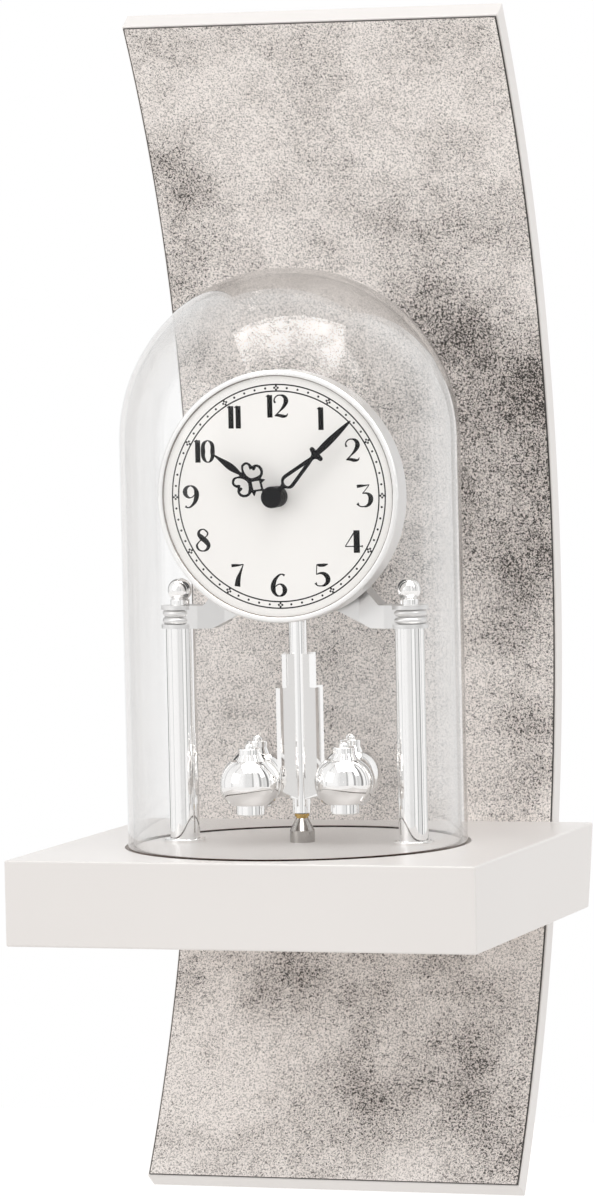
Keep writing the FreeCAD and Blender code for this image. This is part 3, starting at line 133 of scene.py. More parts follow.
class StudioSettings(bpy.types.PropertyGroup):
    camera_turn: FloatProperty(
        name="Turn", description="Camera's turn about the clock",
        subtype="ANGLE", default=math.radians(18.08))
    camera_tilt: FloatProperty(
        name="Tilt", description="Camera's height above the clock as an angle",
        subtype="ANGLE", default=math.radians(3.398))
    camera_roll: FloatProperty(
        name="Roll", description="Camera's roll about its own axis",
        subtype="ANGLE", default=math.radians(-1.2131))
    camera_distance: FloatProperty(
        name="Distance", description="From the camera to the point it looks at",
        subtype="DISTANCE", unit="LENGTH", min=0.5, max=10, default=2.2544)
    camera_aim: FloatVectorProperty(
        name="Aim", description="Point the camera looks at",
        subtype="XYZ", unit="LENGTH", size=3, default=(0.0015929, -0.1192, 0.0038017))
    camera_lens: FloatProperty(
        name="Lens", description="Focal length on a 36 mm picture height",
        unit="CAMERA", min=20, max=400, default=177.267)
    sky_level: FloatProperty(
        name="Room light", description="Even white light from all round",
        min=0, max=2, default=0.92)
    key_power: FloatProperty(
        name="Side softbox", description="Power of the softbox at the front left",
        unit="POWER", subtype="POWER", min=0, max=500, default=9)
    top_power: FloatProperty(
        name="Top softbox", description="Power of the softbox overhead",
        unit="POWER", subtype="POWER", min=0, max=500, default=7)
    window_power: FloatProperty(
        name="Window", description="Power of the window that is only mirrored in glass and chrome",
        unit="POWER", subtype="POWER", min=0, max=500, default=31)
    floor_drop: FloatProperty(
        name="Floor", description="How far the floor is below the console",
        subtype="DISTANCE", unit="LENGTH", min=0.1, max=3, default=0.9)


# Helpers for nodes and meshes


def add(tree, kind, links=(), ramp=(), **settings):
    """Adds one node with its settings, sets or links its inputs and places its ramp stops."""
    node = tree.nodes.new(kind)
    for name, value in settings.items():
        setattr(node, name, value)
    for where, value in links:
        if isinstance(value, bpy.types.NodeSocket):
            tree.links.new(value, node.inputs[where])
        else:
            node.inputs[where].default_value = value
    if ramp:
        stops = node.color_ramp.elements
        while len(stops) > 1:
            stops.remove(stops[-1])
        stops[0].position, stops[0].color = ramp[0]
        for position, colour in ramp[1:]:
            stops.new(position).color = colour
    return node


def new_material(name, colour, tone=None, gloss=None, relief=None, **surface):
    """Material with constant values and noise that varies its colour, gloss and relief.

    tone is (size, darkest share of the colour), gloss is (size, lowest roughness, highest
    roughness) and relief is (size, height), with the sizes of the noise in metres.
    """
    material = bpy.data.materials.new(name)
    material.use_nodes = True
    material.diffuse_color = opaque(colour)
    tree, shader = inside(material)
    shader.inputs["Base Color"].default_value = opaque(colour)
    for words, value in surface.items():
        shader.inputs[words.replace("_", " ")].default_value = value
    place = add(tree, "ShaderNodeTexCoord", name="place").outputs["Object"]
    if tone:
        cloud = add(tree, "ShaderNodeTexNoise",
                    [("Vector", place), ("Scale", 1 / tone[0]), ("Detail", 3.0)])
        shade = add(tree, "ShaderNodeValToRGB", [("Fac", cloud.outputs["Fac"])],
                    [(0.3, opaque(dimmed(colour, tone[1]))), (0.7, opaque(colour))])
        tree.links.new(shade.outputs["Color"], shader.inputs["Base Color"])
    if gloss:
        haze = add(tree, "ShaderNodeTexNoise",
                   [("Vector", place), ("Scale", 1 / gloss[0]), ("Detail", 3.0)])
        dull = add(tree, "ShaderNodeMapRange",
                   [("Value", haze.outputs["Fac"]), ("To Min", gloss[1]), ("To Max", gloss[2])])
        tree.links.new(dull.outputs["Result"], shader.inputs["Roughness"])
    if relief:
        grain = add(tree, "ShaderNodeTexNoise",
                    [("Vector", place), ("Scale", 1 / relief[0]), ("Detail", 2.0)])
        bump = add(tree, "ShaderNodeBump",
                   [("Height", grain.outputs["Fac"]), ("Distance", relief[1])])
        tree.links.new(bump.outputs["Normal"], shader.inputs["Normal"])
    return material


def inside(material):
    """A material's node tree and its shader."""
    return material.node_tree, material.node_tree.nodes["Principled BSDF"]


def dress(piece, material):
    """Gives a piece one material all over."""
    piece.data.materials.clear()
    piece.data.materials.append(material)


def paint_nodes(names, material):
    """Gives these nodes one material."""
    for name in names:
        dress(frame["nodes"][name], material)


def paint(slot, material):
    """Gives every node of one record slot its material."""
    paint_nodes([name for name in frame["nodes"] if SLOT_OF[name] == slot], material)


def only(piece):
    """Deselects everything else and makes one piece active."""
    bpy.ops.object.select_all(action="DESELECT")
    piece.select_set(True)
    bpy.context.view_layer.objects.active = piece


def joined(pieces, name):
    """Joins pieces into the first of them."""
    only(pieces[0])
    for piece in pieces:
        piece.select_set(True)
    if len(pieces) > 1:
        bpy.ops.object.join()
    piece = bpy.context.view_layer.objects.active
    piece.name = name
    piece.data.name = name
    return piece


def copied(piece, matrix):
    """Copy of a piece with its own mesh, placed by a matrix."""
    twin = piece.copy()
    twin.data = piece.data.copy()
    twin.data.transform(matrix)
    bpy.context.scene.collection.objects.link(twin)
    return twin


# Finishes

# Sockets of a Mix node that mixes colours.
MIX_A, MIX_B, MIX_RESULT = 6, 7, 2

# Soft patches of the decor print: across, up, reach in millimetres, and how much darker.
DECOR_PATCHES = ((42, 112, 45, 0.17), (62, 72, 55, 0.29), (72, 22, 52, 0.15),
                 (66, -22, 42, 0.08), (78, -58, 36, 0.28), (-12, -158, 46, 0.13),
                 (14, -196, 44, 0.14), (48, -150, 50, 0.07), (72, -190, 52, 0.20),
                 (20, 60, 70, 0.08), (10, -40, 60, 0.05), (-66, -140, 36, -0.08),
                 (-66, -196, 44, -0.10), (30, 185, 50, -0.04), (-48, 205, 60, 0.08),
                 (66, 140, 30, 0.12), (-62, 148, 34, 0.12))
# Noise at which a cloud of the print begins and at which it is full.
CLOUD_REACH = (0.45, 0.83)
# Noise above which a dark speck shows, in pale and in dark clouds, and how softly it ends.
SPECK_LEVEL = (0.64, 0.48)
SPECK_EDGE = 0.03
# The grit between the specks: its fineness against theirs, the noise from dark to pale, and how
# dark it goes in pale and in dark clouds.
GRIT_FINENESS = 1.1
GRIT_REACH = (0.36, 0.54)
GRIT_DARK = (0.42, 0.18)
# Width of the dark line along the sheet's sides and ends.
EDGE_LINE_SIDE = 0.0004
EDGE_LINE_END = 0.0005

# Light that the dome's wall lets through, from seen square on to seen edge on.
GLASS_CLEAR = ((0.0, 1.0), (0.5, 0.985), (0.85, 0.95), (1.0, 0.70))
# How steeply the dome's mirror grows towards its edges, and what it mirrors square on.
GLASS_STEEPNESS = (2.9, 2.1)
GLASS_MIRROR = 0.006
# Upright streaks in the blown wall: how far they are drawn out, and how close they stand.
STREAK_DRAW = 0.015
STREAK_SCALE = 220.0
# Half the height of the painted shadow line where the dome sinks into the shelf: a band of the
# glass tinted dark brown stands in for the shade in the groove.
FOOT_SHADOW_HALF = 0.35 * MM
SHELF_TOP_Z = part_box("shelf")[1].z

# Outer radius of the painted shade line inside the bezel's lip.
LIP_SHADE_RADIUS = 45.95 * MM
# How much of the bright plate's reflection the satin pieces keep.
BEZEL_SHARE = 0.9
BRIDGE_SHARE = 0.78

# One band for every 0.45 mm of winding, and a row of copper runs for every millimetre of board.
WINDING_SCALE = 700.0
COPPER_RUN_SCALE = 260.0


def satin_lacquer(settings):
    """Sprayed satin lacquer on board: even warm white, soft gloss, faint orange peel."""
    return new_material("satin_lacquer_sprayed", tuple(settings.lacquer_colour),
                        tone=(0.12, 0.975), gloss=(0.03, 0.27, 0.37), relief=(0.0022, 0.00002),
                        Roughness=0.32, IOR=1.5)


def concrete_decor(settings):
    """Printed concrete-look sheet: pale clouds, grey patches, fine dark specks, a dark line along
    its edges.

    The specks are drawn at 0.8 mm, coarser than the real ones, so that they show.
    """
    light, mid, dark = (opaque(colour) for colour in (
        settings.decor_light, settings.decor_mid, settings.decor_dark))
    material = new_material("concrete_decor_printed", tuple(settings.decor_light),
                            Roughness=0.62, IOR=1.48)
    tree, shader = inside(material)
    place = tree.nodes["place"].outputs["Object"]
    cloud = add(tree, "ShaderNodeTexNoise",
                [("Vector", place), ("Scale", 1 / settings.cloud_size), ("Detail", 5.0),
                 ("Roughness", 0.70)])
    shade = add(tree, "ShaderNodeMath", [(0, cloud.outputs["Fac"]), (1, patches(tree, place))],
                operation="ADD")
    depth = add(tree, "ShaderNodeMapRange",
                [("Value", shade.outputs[0]), ("From Min", CLOUD_REACH[0]),
                 ("From Max", CLOUD_REACH[1])])
    base = add(tree, "ShaderNodeMix",
               [("Factor", depth.outputs["Result"]), (MIX_A, light), (MIX_B, mid)],
               data_type="RGBA")
    crowd = add(tree, "ShaderNodeMapRange",
                [("Value", depth.outputs["Result"]), ("To Min", SPECK_LEVEL[0]),
                 ("To Max", SPECK_LEVEL[1])])
    fine = add(tree, "ShaderNodeTexNoise",
               [("Vector", place), ("Scale", 1 / settings.speck_size), ("Detail", 2.0),
                ("Roughness", 0.8)])
    grit = add(tree, "ShaderNodeTexNoise",
               [("Vector", place), ("Scale", GRIT_FINENESS / settings.speck_size),
                ("Detail", 2.0), ("Roughness", 0.8)])
    harsh = add(tree, "ShaderNodeMapRange",
                [("Value", depth.outputs["Result"]), ("To Min", GRIT_DARK[0]),
                 ("To Max", GRIT_DARK[1])])
    dulled = add(tree, "ShaderNodeMapRange",
                 [("Value", grit.outputs["Fac"]), ("From Min", GRIT_REACH[0]),
                  ("From Max", GRIT_REACH[1]), ("To Min", harsh.outputs["Result"])])
    gritty = add(tree, "ShaderNodeMix",
                 [("Factor", 1.0), (MIX_A, base.outputs[MIX_RESULT]),
                  (MIX_B, dulled.outputs["Result"])],
                 data_type="RGBA", blend_type="MULTIPLY")
    over = add(tree, "ShaderNodeMath",
               [(0, fine.outputs["Fac"]), (1, crowd.outputs["Result"])], operation="SUBTRACT")
    speck = add(tree, "ShaderNodeMapRange",
                [("Value", over.outputs[0]), ("From Max", SPECK_EDGE)])
    specked = add(tree, "ShaderNodeMix",
                  [("Factor", speck.outputs["Result"]), (MIX_A, gritty.outputs[MIX_RESULT]),
                   (MIX_B, dark)], data_type="RGBA")
    edged = add(tree, "ShaderNodeMix",
                [("Factor", near_edge(tree, place)), (MIX_A, specked.outputs[MIX_RESULT]),
                 (MIX_B, dark)], data_type="RGBA")
    tree.links.new(edged.outputs[MIX_RESULT], shader.inputs["Base Color"])
    bump = add(tree, "ShaderNodeBump", [("Height", fine.outputs["Fac"]), ("Distance", 0.00004)])
    tree.links.new(bump.outputs["Normal"], shader.inputs["Normal"])
    return material


def patches(tree, place):
    """Sum of the soft dark patches of the print."""
    flat = add(tree, "ShaderNodeVectorMath", [(0, place), (1, (1, 0, 1))], operation="MULTIPLY")
    total = 0.0
    for across, up, reach, strength in DECOR_PATCHES:
        away = add(tree, "ShaderNodeVectorMath",
                   [(0, flat.outputs["Vector"]), (1, (across * MM, 0, up * MM))],
                   operation="DISTANCE")
        fade = add(tree, "ShaderNodeMapRange",
                   [("Value", away.outputs["Value"]), ("From Max", reach * MM),
                    ("To Min", strength), ("To Max", 0.0)], interpolation_type="SMOOTHSTEP")
        total = add(tree, "ShaderNodeMath", [(0, total), (1, fade.outputs["Result"])],
                    operation="ADD").outputs[0]
    return total


def near_edge(tree, place):
    """One along the decor sheet's sides and ends, else nought."""
    low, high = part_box("decor_sheet")
    centre = (low + high) / 2
    half = (high - low) / 2
    spot = add(tree, "ShaderNodeSeparateXYZ", [("Vector", place)])
    near = []
    for axis, middle, reach, band in (("X", centre.x, half.x, EDGE_LINE_SIDE),
                                      ("Z", centre.z, half.z, EDGE_LINE_END)):
        off = add(tree, "ShaderNodeMath", [(0, spot.outputs[axis]), (1, middle)],
                  operation="SUBTRACT")
        far = add(tree, "ShaderNodeMath", [(0, off.outputs[0])], operation="ABSOLUTE")
        near.append(add(tree, "ShaderNodeMath", [(0, far.outputs[0]), (1, reach - band)],
                        operation="GREATER_THAN").outputs[0])
    return add(tree, "ShaderNodeMath", [(0, near[0]), (1, near[1])],
               operation="MAXIMUM").outputs[0]


def blown_glass(settings):
    """Blown clear glass, too thin to bend what is seen: pale streaked mirror bands where it
    curves away, and a thin painted shadow line where it sinks into the shelf."""
    tint = tuple(settings.glass_tint)
    material = new_material("clear_glass_blown", linear("fdfcfb"), relief=(0.035, 0.00004),
                            Metallic=1.0, Roughness=0.0)
    tree, shader = inside(material)
    place = tree.nodes["place"].outputs["Object"]
    slant = add(tree, "ShaderNodeLayerWeight", [("Blend", 0.5)]).outputs["Facing"]
    depth = add(tree, "ShaderNodeValToRGB", [("Fac", slant)],
                [(at, opaque(dimmed(tint, share))) for at, share in GLASS_CLEAR])
    height = add(tree, "ShaderNodeSeparateXYZ", [("Vector", place)])
    # Painted shadow: a thin band of the glass at the shelf's top is tinted dark brown for the shade
    # in the groove round the dome's foot.
    foot_shadow = add(tree, "ShaderNodeMath",
              [(0, height.outputs["Z"]), (1, SHELF_TOP_Z), (2, FOOT_SHADOW_HALF)], operation="COMPARE")
    passed = add(tree, "ShaderNodeMix",
                 [("Factor", foot_shadow.outputs[0]), (MIX_A, depth.outputs["Color"]),
                  (MIX_B, opaque(linear("7d6c62")))], data_type="RGBA")
    clear = add(tree, "ShaderNodeBsdfTransparent", [("Color", passed.outputs[MIX_RESULT])])
    drawn = add(tree, "ShaderNodeMapping", [("Vector", place), ("Scale", (1, 1, STREAK_DRAW))])
    streak = add(tree, "ShaderNodeTexNoise",
                 [("Vector", drawn.outputs["Vector"]), ("Scale", STREAK_SCALE), ("Detail", 1.0)])
    steepness = add(tree, "ShaderNodeMapRange",
                    [("Value", streak.outputs["Fac"]), ("From Min", 0.3), ("From Max", 0.7),
                     ("To Min", GLASS_STEEPNESS[0]), ("To Max", GLASS_STEEPNESS[1])])
    steep = add(tree, "ShaderNodeMath", [(0, slant), (1, steepness.outputs["Result"])],
                operation="POWER")
    mirror = add(tree, "ShaderNodeMapRange",
                 [("Value", steep.outputs[0]), ("To Min", GLASS_MIRROR)])
    path = add(tree, "ShaderNodeLightPath")
    lit = add(tree, "ShaderNodeMath", [(0, 1.0), (1, path.outputs["Is Shadow Ray"])],
              operation="SUBTRACT")
    share = add(tree, "ShaderNodeMath", [(0, mirror.outputs["Result"]), (1, lit.outputs[0])],
                operation="MULTIPLY")
    both = add(tree, "ShaderNodeMixShader",
               [(0, share.outputs[0]), (1, clear.outputs[0]), (2, shader.outputs[0])])
    tree.links.new(both.outputs[0], tree.nodes["Material Output"].inputs["Surface"])
    return material


def bright_chrome(settings):
    """Chrome plate on polished metal: mirror bright, with faint polishing haze."""
    return new_material("chrome_plated_polished", tuple(settings.chrome_colour),
                        gloss=(0.012, 0.02, 0.06), Metallic=1.0, Roughness=0.04)


def satin_chrome(settings):
    """Chrome over a blasted ground: pale and even, mirrors only as a soft sheen.

    The blasting is drawn at 0.6 mm, coarser than it is, so that it shows.
    """
    return new_material("chrome_plated_satin", dimmed(settings.chrome_colour, BRIDGE_SHARE),
                        gloss=(0.01, 0.29, 0.38), relief=(0.0006, 0.000006),
                        Metallic=1.0, Roughness=0.34)


def bezel_chrome(settings):
    """Satin chrome of the bezel: pale and even, with a painted shade line where its lip meets the
    dial.
    """
    colour = dimmed(settings.chrome_colour, BEZEL_SHARE)
    chrome, shaded = opaque(colour), opaque(linear("8d8782"))
    material = new_material("chrome_plated_satin_bezel", colour,
                            gloss=(0.01, 0.42, 0.5), relief=(0.0006, 0.000006),
                            Metallic=1.0, Roughness=0.46)
    tree, shader = inside(material)
    flat = add(tree, "ShaderNodeVectorMath",
               [(0, tree.nodes["place"].outputs["Object"]), (1, (1, 0, 1))],
               operation="MULTIPLY")
    away = add(tree, "ShaderNodeVectorMath",
               [(0, flat.outputs["Vector"]), (1, (DIAL_X, 0, DIAL_Z))], operation="DISTANCE")
    # Painted shade: inside this radius the bezel is coloured dark grey for the shade where its lip
    # meets the dial.
    lip = add(tree, "ShaderNodeMath", [(0, away.outputs["Value"]), (1, LIP_SHADE_RADIUS)],
              operation="LESS_THAN")
    tone = add(tree, "ShaderNodeMix",
               [("Factor", lip.outputs[0]), (MIX_A, chrome), (MIX_B, shaded)], data_type="RGBA")
    tree.links.new(tone.outputs[MIX_RESULT], shader.inputs["Base Color"])
    return material


def rolled_steel():
    """Rolled steel, left bare: the grain of the rolls, drawn at 1.5 mm to show, dulls its gloss."""
    return new_material("steel_rolled", linear("c4c4c6"), tone=(0.0015, 0.86),
                        gloss=(0.0015, 0.22, 0.38), relief=(0.0015, 0.00001),
                        Metallic=1.0, Roughness=0.3)


def turned_steel():
    """Turned and polished steel: darker than chrome, with crisp light and dark bands."""
    return new_material("steel_turned_polished", linear("b6b2ae"), tone=(0.004, 0.9),
                        gloss=(0.004, 0.06, 0.12), Metallic=1.0, Roughness=0.09)


def turned_brass():
    """Turned brass: warm yellow, with the uneven gloss of the tool, drawn at 1.2 mm to show."""
    return new_material("brass_turned", linear("c2a264"), tone=(0.0012, 0.86),
                        gloss=(0.0012, 0.18, 0.34), relief=(0.0012, 0.00001),
                        Metallic=1.0, Roughness=0.26)


def moulded_plastic(name, code, rough):
    """Moulded plastic: a spark-eroded texture, drawn at 0.5 mm to show, dulls the gloss."""
    return new_material(name, linear(code), tone=(0.009, 0.93), relief=(0.0005, 0.00003),
                        Roughness=rough, IOR=1.48)


def dial_enamel(settings):
    """Baked satin enamel on sheet metal: warm white with a soft, nearly even gloss."""
    return new_material("dial_enamel_baked", tuple(settings.dial_colour), tone=(0.03, 0.985),
                        relief=(0.0009, 0.000008), Roughness=0.5, IOR=1.5,
                        Specular_IOR_Level=0.25)


def gloss_enamel():
    """Stoved black enamel on the hands: deep black with a slightly rippled gloss."""
    return new_material("black_enamel_stoved", linear("141417"), tone=(0.0025, 0.6),
                        relief=(0.0012, 0.00002), Roughness=0.4, IOR=1.5,
                        Specular_IOR_Level=0.15)


def printing_ink(settings):
    """Screen-printed ink: near black, uneven where the mesh let less through, drawn at 1.1 mm."""
    return new_material("dial_ink_screen_printed", tuple(settings.ink_colour),
                        tone=(0.0011, 0.5), Roughness=0.5, IOR=1.5, Specular_IOR_Level=0.2)


def wound_wire():
    """Enamelled copper wire wound in layers: copper bands with painted shade darkening the grooves
    between them, coarser than the turns so they show.
    """
    colour = linear("b5622e")
    material = new_material("copper_wire_wound", colour, Metallic=1.0, Roughness=0.35)
    tree, shader = inside(material)
    turns = add(tree, "ShaderNodeTexWave",
                [("Vector", tree.nodes["place"].outputs["Object"]), ("Scale", WINDING_SCALE),
                 ("Distortion", 0.6)])
    # Painted shade: the colour darkens to deep brown between the bands, for the shade in the
    # grooves between turns.
    tone = add(tree, "ShaderNodeValToRGB", [("Fac", turns.outputs["Fac"])],
               [(0.1, opaque(linear("6e3517"))), (0.6, opaque(colour))])
    tree.links.new(tone.outputs["Color"], shader.inputs["Base Color"])
    bump = add(tree, "ShaderNodeBump", [("Height", turns.outputs["Fac"]), ("Distance", 0.00008)])
    tree.links.new(bump.outputs["Normal"], shader.inputs["Normal"])
    return material


def circuit_mask():
    """Solder-masked circuit board: green lacquer with paler copper runs, coarse so they show."""
    colour = linear("1d5a33")
    material = new_material("circuit_board_solder_masked", colour, Roughness=0.3, IOR=1.5)
    tree, shader = inside(material)
    runs = add(tree, "ShaderNodeTexBrick",
               [("Vector", tree.nodes["place"].outputs["Object"]), ("Scale", COPPER_RUN_SCALE),
                ("Mortar Size", 0.04), ("Color1", opaque(colour)),
                ("Color2", opaque(linear("22663b"))), ("Mortar", opaque(linear("4c9058")))])
    tree.links.new(runs.outputs["Color"], shader.inputs["Base Color"])
    bump = add(tree, "ShaderNodeBump", [("Height", runs.outputs["Fac"]), ("Distance", 0.00003)])
    tree.links.new(bump.outputs["Normal"], shader.inputs["Normal"])
    return material


def printed_jacket():
    """Printed shrink jacket of a cell: dark body, copper-coloured shoulder, bare ends."""
    body, shoulder, bare = (opaque(linear(code)) for code in ("1f3566", "b9853a", "c9c9cc"))
    material = new_material("cell_jacket_printed", linear("1f3566"), relief=(0.004, 0.00002),
                            Roughness=0.3, IOR=1.5)
    tree, shader = inside(material)
    spot = add(tree, "ShaderNodeSeparateXYZ", [("Vector", tree.nodes["place"].outputs["Object"])])
    low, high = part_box("battery")
    share = add(tree, "ShaderNodeMapRange",
                [("Value", spot.outputs["X"]), ("From Min", low.x), ("From Max", high.x)])
    bands = add(tree, "ShaderNodeValToRGB", [("Fac", share.outputs["Result"])],
                [(0.0, bare), (0.045, body), (0.78, shoulder), (0.94, bare)])
    bands.color_ramp.interpolation = "CONSTANT"
    tree.links.new(bands.outputs["Color"], shader.inputs["Base Color"])
    return material


# Dial printing: numerals drawn as pen strokes in a box one digit high.
# Each stroke is a list of (across, up, half width) along its middle line.

DIGIT_HEIGHT = 8.6
DIGITS = {
    "0": [[(0.29, 0.985, 0.015), (0.47, 0.84, 0.055), (0.51, 0.5, 0.075), (0.47, 0.16, 0.055),
           (0.29, 0.015, 0.015), (0.11, 0.16, 0.055), (0.07, 0.5, 0.075), (0.11, 0.84, 0.055),
           (0.29, 0.985, 0.015)]],
    "1": [[(0.17, 0.0, 0.085), (0.17, 0.99, 0.085)],
          [(0.0, 0.925, 0.012), (0.06, 0.95, 0.02), (0.14, 0.98, 0.03)]],
    "2": [[(0.07, 0.64, 0.035), (0.03, 0.76, 0.022), (0.13, 0.93, 0.02), (0.32, 0.98, 0.02),
           (0.51, 0.90, 0.055), (0.575, 0.73, 0.08), (0.49, 0.52, 0.055), (0.27, 0.27, 0.022),
           (0.05, 0.07, 0.015)],
          [(0.05, 0.07, 0.015), (0.20, 0.095, 0.045), (0.42, 0.055, 0.055), (0.58, 0.07, 0.03),
           (0.65, 0.17, 0.01)]],
    "3": [[(0.03, 0.90, 0.05), (0.2, 0.925, 0.045), (0.42, 0.945, 0.025), (0.6, 0.975, 0.012)],
          [(0.6, 0.975, 0.012), (0.44, 0.77, 0.014), (0.28, 0.59, 0.012)],
          [(0.28, 0.59, 0.012), (0.48, 0.60, 0.03), (0.64, 0.46, 0.075), (0.65, 0.28, 0.08),
           (0.52, 0.07, 0.045), (0.33, 0.015, 0.018), (0.13, 0.05, 0.02), (0.04, 0.16, 0.045)]],
    "4": [[(0.54, 0.0, 0.1), (0.54, 0.99, 0.1)], [(0.47, 0.96, 0.02), (0.01, 0.28, 0.014)],
          [(0.01, 0.28, 0.016), (0.80, 0.29, 0.016)], [(0.79, 0.24, 0.016), (0.79, 0.33, 0.022)]],
    "5": [[(0.11, 0.95, 0.02), (0.25, 0.925, 0.05), (0.45, 0.935, 0.05), (0.63, 0.975, 0.014)],
          [(0.115, 0.95, 0.014), (0.09, 0.52, 0.014)],
          [(0.09, 0.52, 0.014), (0.30, 0.58, 0.035), (0.55, 0.47, 0.075), (0.62, 0.28, 0.08),
           (0.50, 0.08, 0.045), (0.30, 0.015, 0.018), (0.11, 0.05, 0.02), (0.04, 0.15, 0.042)]],
    "6": [[(0.62, 0.92, 0.035), (0.49, 0.98, 0.018), (0.28, 0.86, 0.04), (0.11, 0.58, 0.075),
           (0.085, 0.32, 0.08), (0.19, 0.09, 0.045), (0.37, 0.015, 0.018), (0.56, 0.11, 0.055),
           (0.62, 0.29, 0.08), (0.54, 0.47, 0.05), (0.38, 0.54, 0.018), (0.2, 0.44, 0.016),
           (0.11, 0.32, 0.02)]],
    "7": [[(0.01, 0.92, 0.05), (0.2, 0.935, 0.045), (0.42, 0.95, 0.025), (0.57, 0.98, 0.012)],
          [(0.57, 0.98, 0.012), (0.42, 0.62, 0.04), (0.31, 0.30, 0.08), (0.27, 0.0, 0.095)]],
    "8": [[(0.55, 0.87, 0.028), (0.35, 0.98, 0.018), (0.15, 0.82, 0.045), (0.28, 0.62, 0.085),
           (0.50, 0.43, 0.085), (0.60, 0.22, 0.06), (0.34, 0.015, 0.018), (0.06, 0.22, 0.035),
           (0.16, 0.42, 0.018), (0.42, 0.60, 0.014), (0.57, 0.76, 0.024), (0.55, 0.87, 0.028)]],
}
# A nine is a six turned upside down in a box this wide.
SIX_WIDTH = 0.69
DIGITS["9"] = [[(SIX_WIDTH - across, 1 - up, half) for across, up, half in stroke]
               for stroke in DIGITS["6"]]

# Lower left corner of each digit, in millimetres from the dial's centre.
NUMERALS = [
    ("1", -4.1, 29.9), ("2", -1.1, 29.9), ("1", 16.1, 25.0), ("2", 26.9, 13.0),
    ("3", 31.0, -4.2), ("4", 26.1, -21.5), ("5", 13.75, -34.1), ("6", -3.5, -37.9),
    ("7", -19.4, -34.1), ("8", -33.5, -20.7), ("9", -37.9, -4.2), ("1", -33.3, 13.1),
    ("0", -30.3, 13.1), ("1", -19.7, 25.9), ("1", -16.8, 25.9),
]
# How much wider than drawn the pen goes, and how far right the whole print sits.
PEN_WEIGHT = 1.4
PRINT_SHIFT = 0.3
# The minute track, in millimetres: its two circles, their line, a dot, and the reach of the four
# dots that stand for a diamond.
TRACK_OUTER = 42.4
TRACK_INNER = 39.9
TRACK_LINE = 0.5
TRACK_DOT = 0.42
DIAMOND_REACH = 0.68
RING_SIDES = 240
DOT_SIDES = 12
# Points closer than this are the same point.
WELD_REACH = 0.000002


def flat_pen():
    """Level line, one unit to each side, that every stroke is swept with."""
    curve = bpy.data.curves.new("pen", "CURVE")
    line = curve.splines.new("POLY")
    line.points.add(1)
    line.points[0].co = (-1, 0, 0, 1)
    line.points[1].co = (1, 0, 0, 1)
    pen = bpy.data.objects.new("pen", curve)
    bpy.context.scene.collection.objects.link(pen)
    return pen


def pen_stroke(points):
    """Flat ribbon along a smooth line, as wide as the pen was pressed."""
    curve = bpy.data.curves.new("stroke", "CURVE")
    curve.dimensions = "3D"
    curve.twist_mode = "Z_UP"
    curve.resolution_u = 6
    spline = curve.splines.new("BEZIER")
    spline.bezier_points.add(len(points) - 1)
    for point, (across, up, half) in zip(spline.bezier_points, points):
        point.co = (across, up, 0)
        point.radius = half * PEN_WEIGHT
        point.handle_left_type = point.handle_right_type = "AUTO"
    return bpy.data.objects.new("stroke", curve)


def digit_blank(strokes, pen):
    """One digit, one unit high, as a flat mesh lying face up."""
    pieces = []
    for points in strokes:
        stroke = pen_stroke(points)
        bpy.context.scene.collection.objects.link(stroke)
        stroke.data.bevel_mode = "OBJECT"
        stroke.data.bevel_object = pen
        only(stroke)
        bpy.ops.object.convert(target="MESH")
        pieces.append(bpy.context.view_layer.objects.active)
    return joined(pieces, "digit")


def on_dial(across, up, scale=1.0):
    """Stands a flat mesh up on the dial's face at a place in millimetres."""
    place = Vector((DIAL_X + (across + PRINT_SHIFT) * MM, DIAL_FACE_Y, DIAL_Z + up * MM))
    return (Matrix.Translation(place) @ Matrix.Rotation(math.pi / 2, 4, "X")
            @ Matrix.Scale(scale * MM, 4))


def raised(piece, height):
    """Gives a flat print its thickness, off the dial towards the viewer."""
    only(piece)
    bpy.ops.object.mode_set(mode="EDIT")
    bpy.ops.mesh.select_all(action="SELECT")
    bpy.ops.mesh.remove_doubles(threshold=WELD_REACH)
    bpy.ops.mesh.normals_make_consistent(inside=False)
    bpy.ops.object.mode_set(mode="OBJECT")
    # A flat print has no inside to judge by, so faces that look into the dial are turned.
    mesh = bmesh.new()
    mesh.from_mesh(piece.data)
    bmesh.ops.reverse_faces(mesh, faces=[face for face in mesh.faces if face.normal.y > 0])
    mesh.to_mesh(piece.data)
    mesh.free()
    solid = piece.modifiers.new("thickness", "SOLIDIFY")
    solid.thickness = height
    solid.offset = 1
    bpy.ops.object.modifier_apply(modifier=solid.name)
    return piece


def ring_print(radius, width):
    """Thin printed circle."""
    bpy.ops.mesh.primitive_circle_add(vertices=RING_SIDES, radius=radius + width / 2)
    ring = bpy.context.view_layer.objects.active
    bpy.ops.object.mode_set(mode="EDIT")
    bpy.ops.mesh.select_all(action="SELECT")
    bpy.ops.mesh.extrude_edges_move()
    share = (radius - width / 2) / (radius + width / 2)
    bpy.ops.transform.resize(value=(share, share, 1))
    bpy.ops.object.mode_set(mode="OBJECT")
    return ring


class DOMECLOCK_OT_console(bpy.types.Operator):
    """Finishes the panel, the shelf and the hanging block in satin lacquer"""
    bl_idname = "domeclock.console"
    bl_label = "Panel and shelf"

    def execute(self, context):
        paint("white_lacquer", satin_lacquer(context.scene.console_settings))
        return {"FINISHED"}


class DOMECLOCK_OT_decor(bpy.types.Operator):
    """Prints the concrete look on the decor sheet"""
    bl_idname = "domeclock.decor"
    bl_label = "Decor sheet"

    def execute(self, context):
        paint("concrete_decor", concrete_decor(context.scene.console_settings))
        return {"FINISHED"}


class DOMECLOCK_OT_dome(bpy.types.Operator):
    """Makes the dome of clear blown glass"""
    bl_idname = "domeclock.dome"
    bl_label = "Glass dome"

    def execute(self, context):
        paint("dome_glass", blown_glass(context.scene.clock_settings))
        return {"FINISHED"}


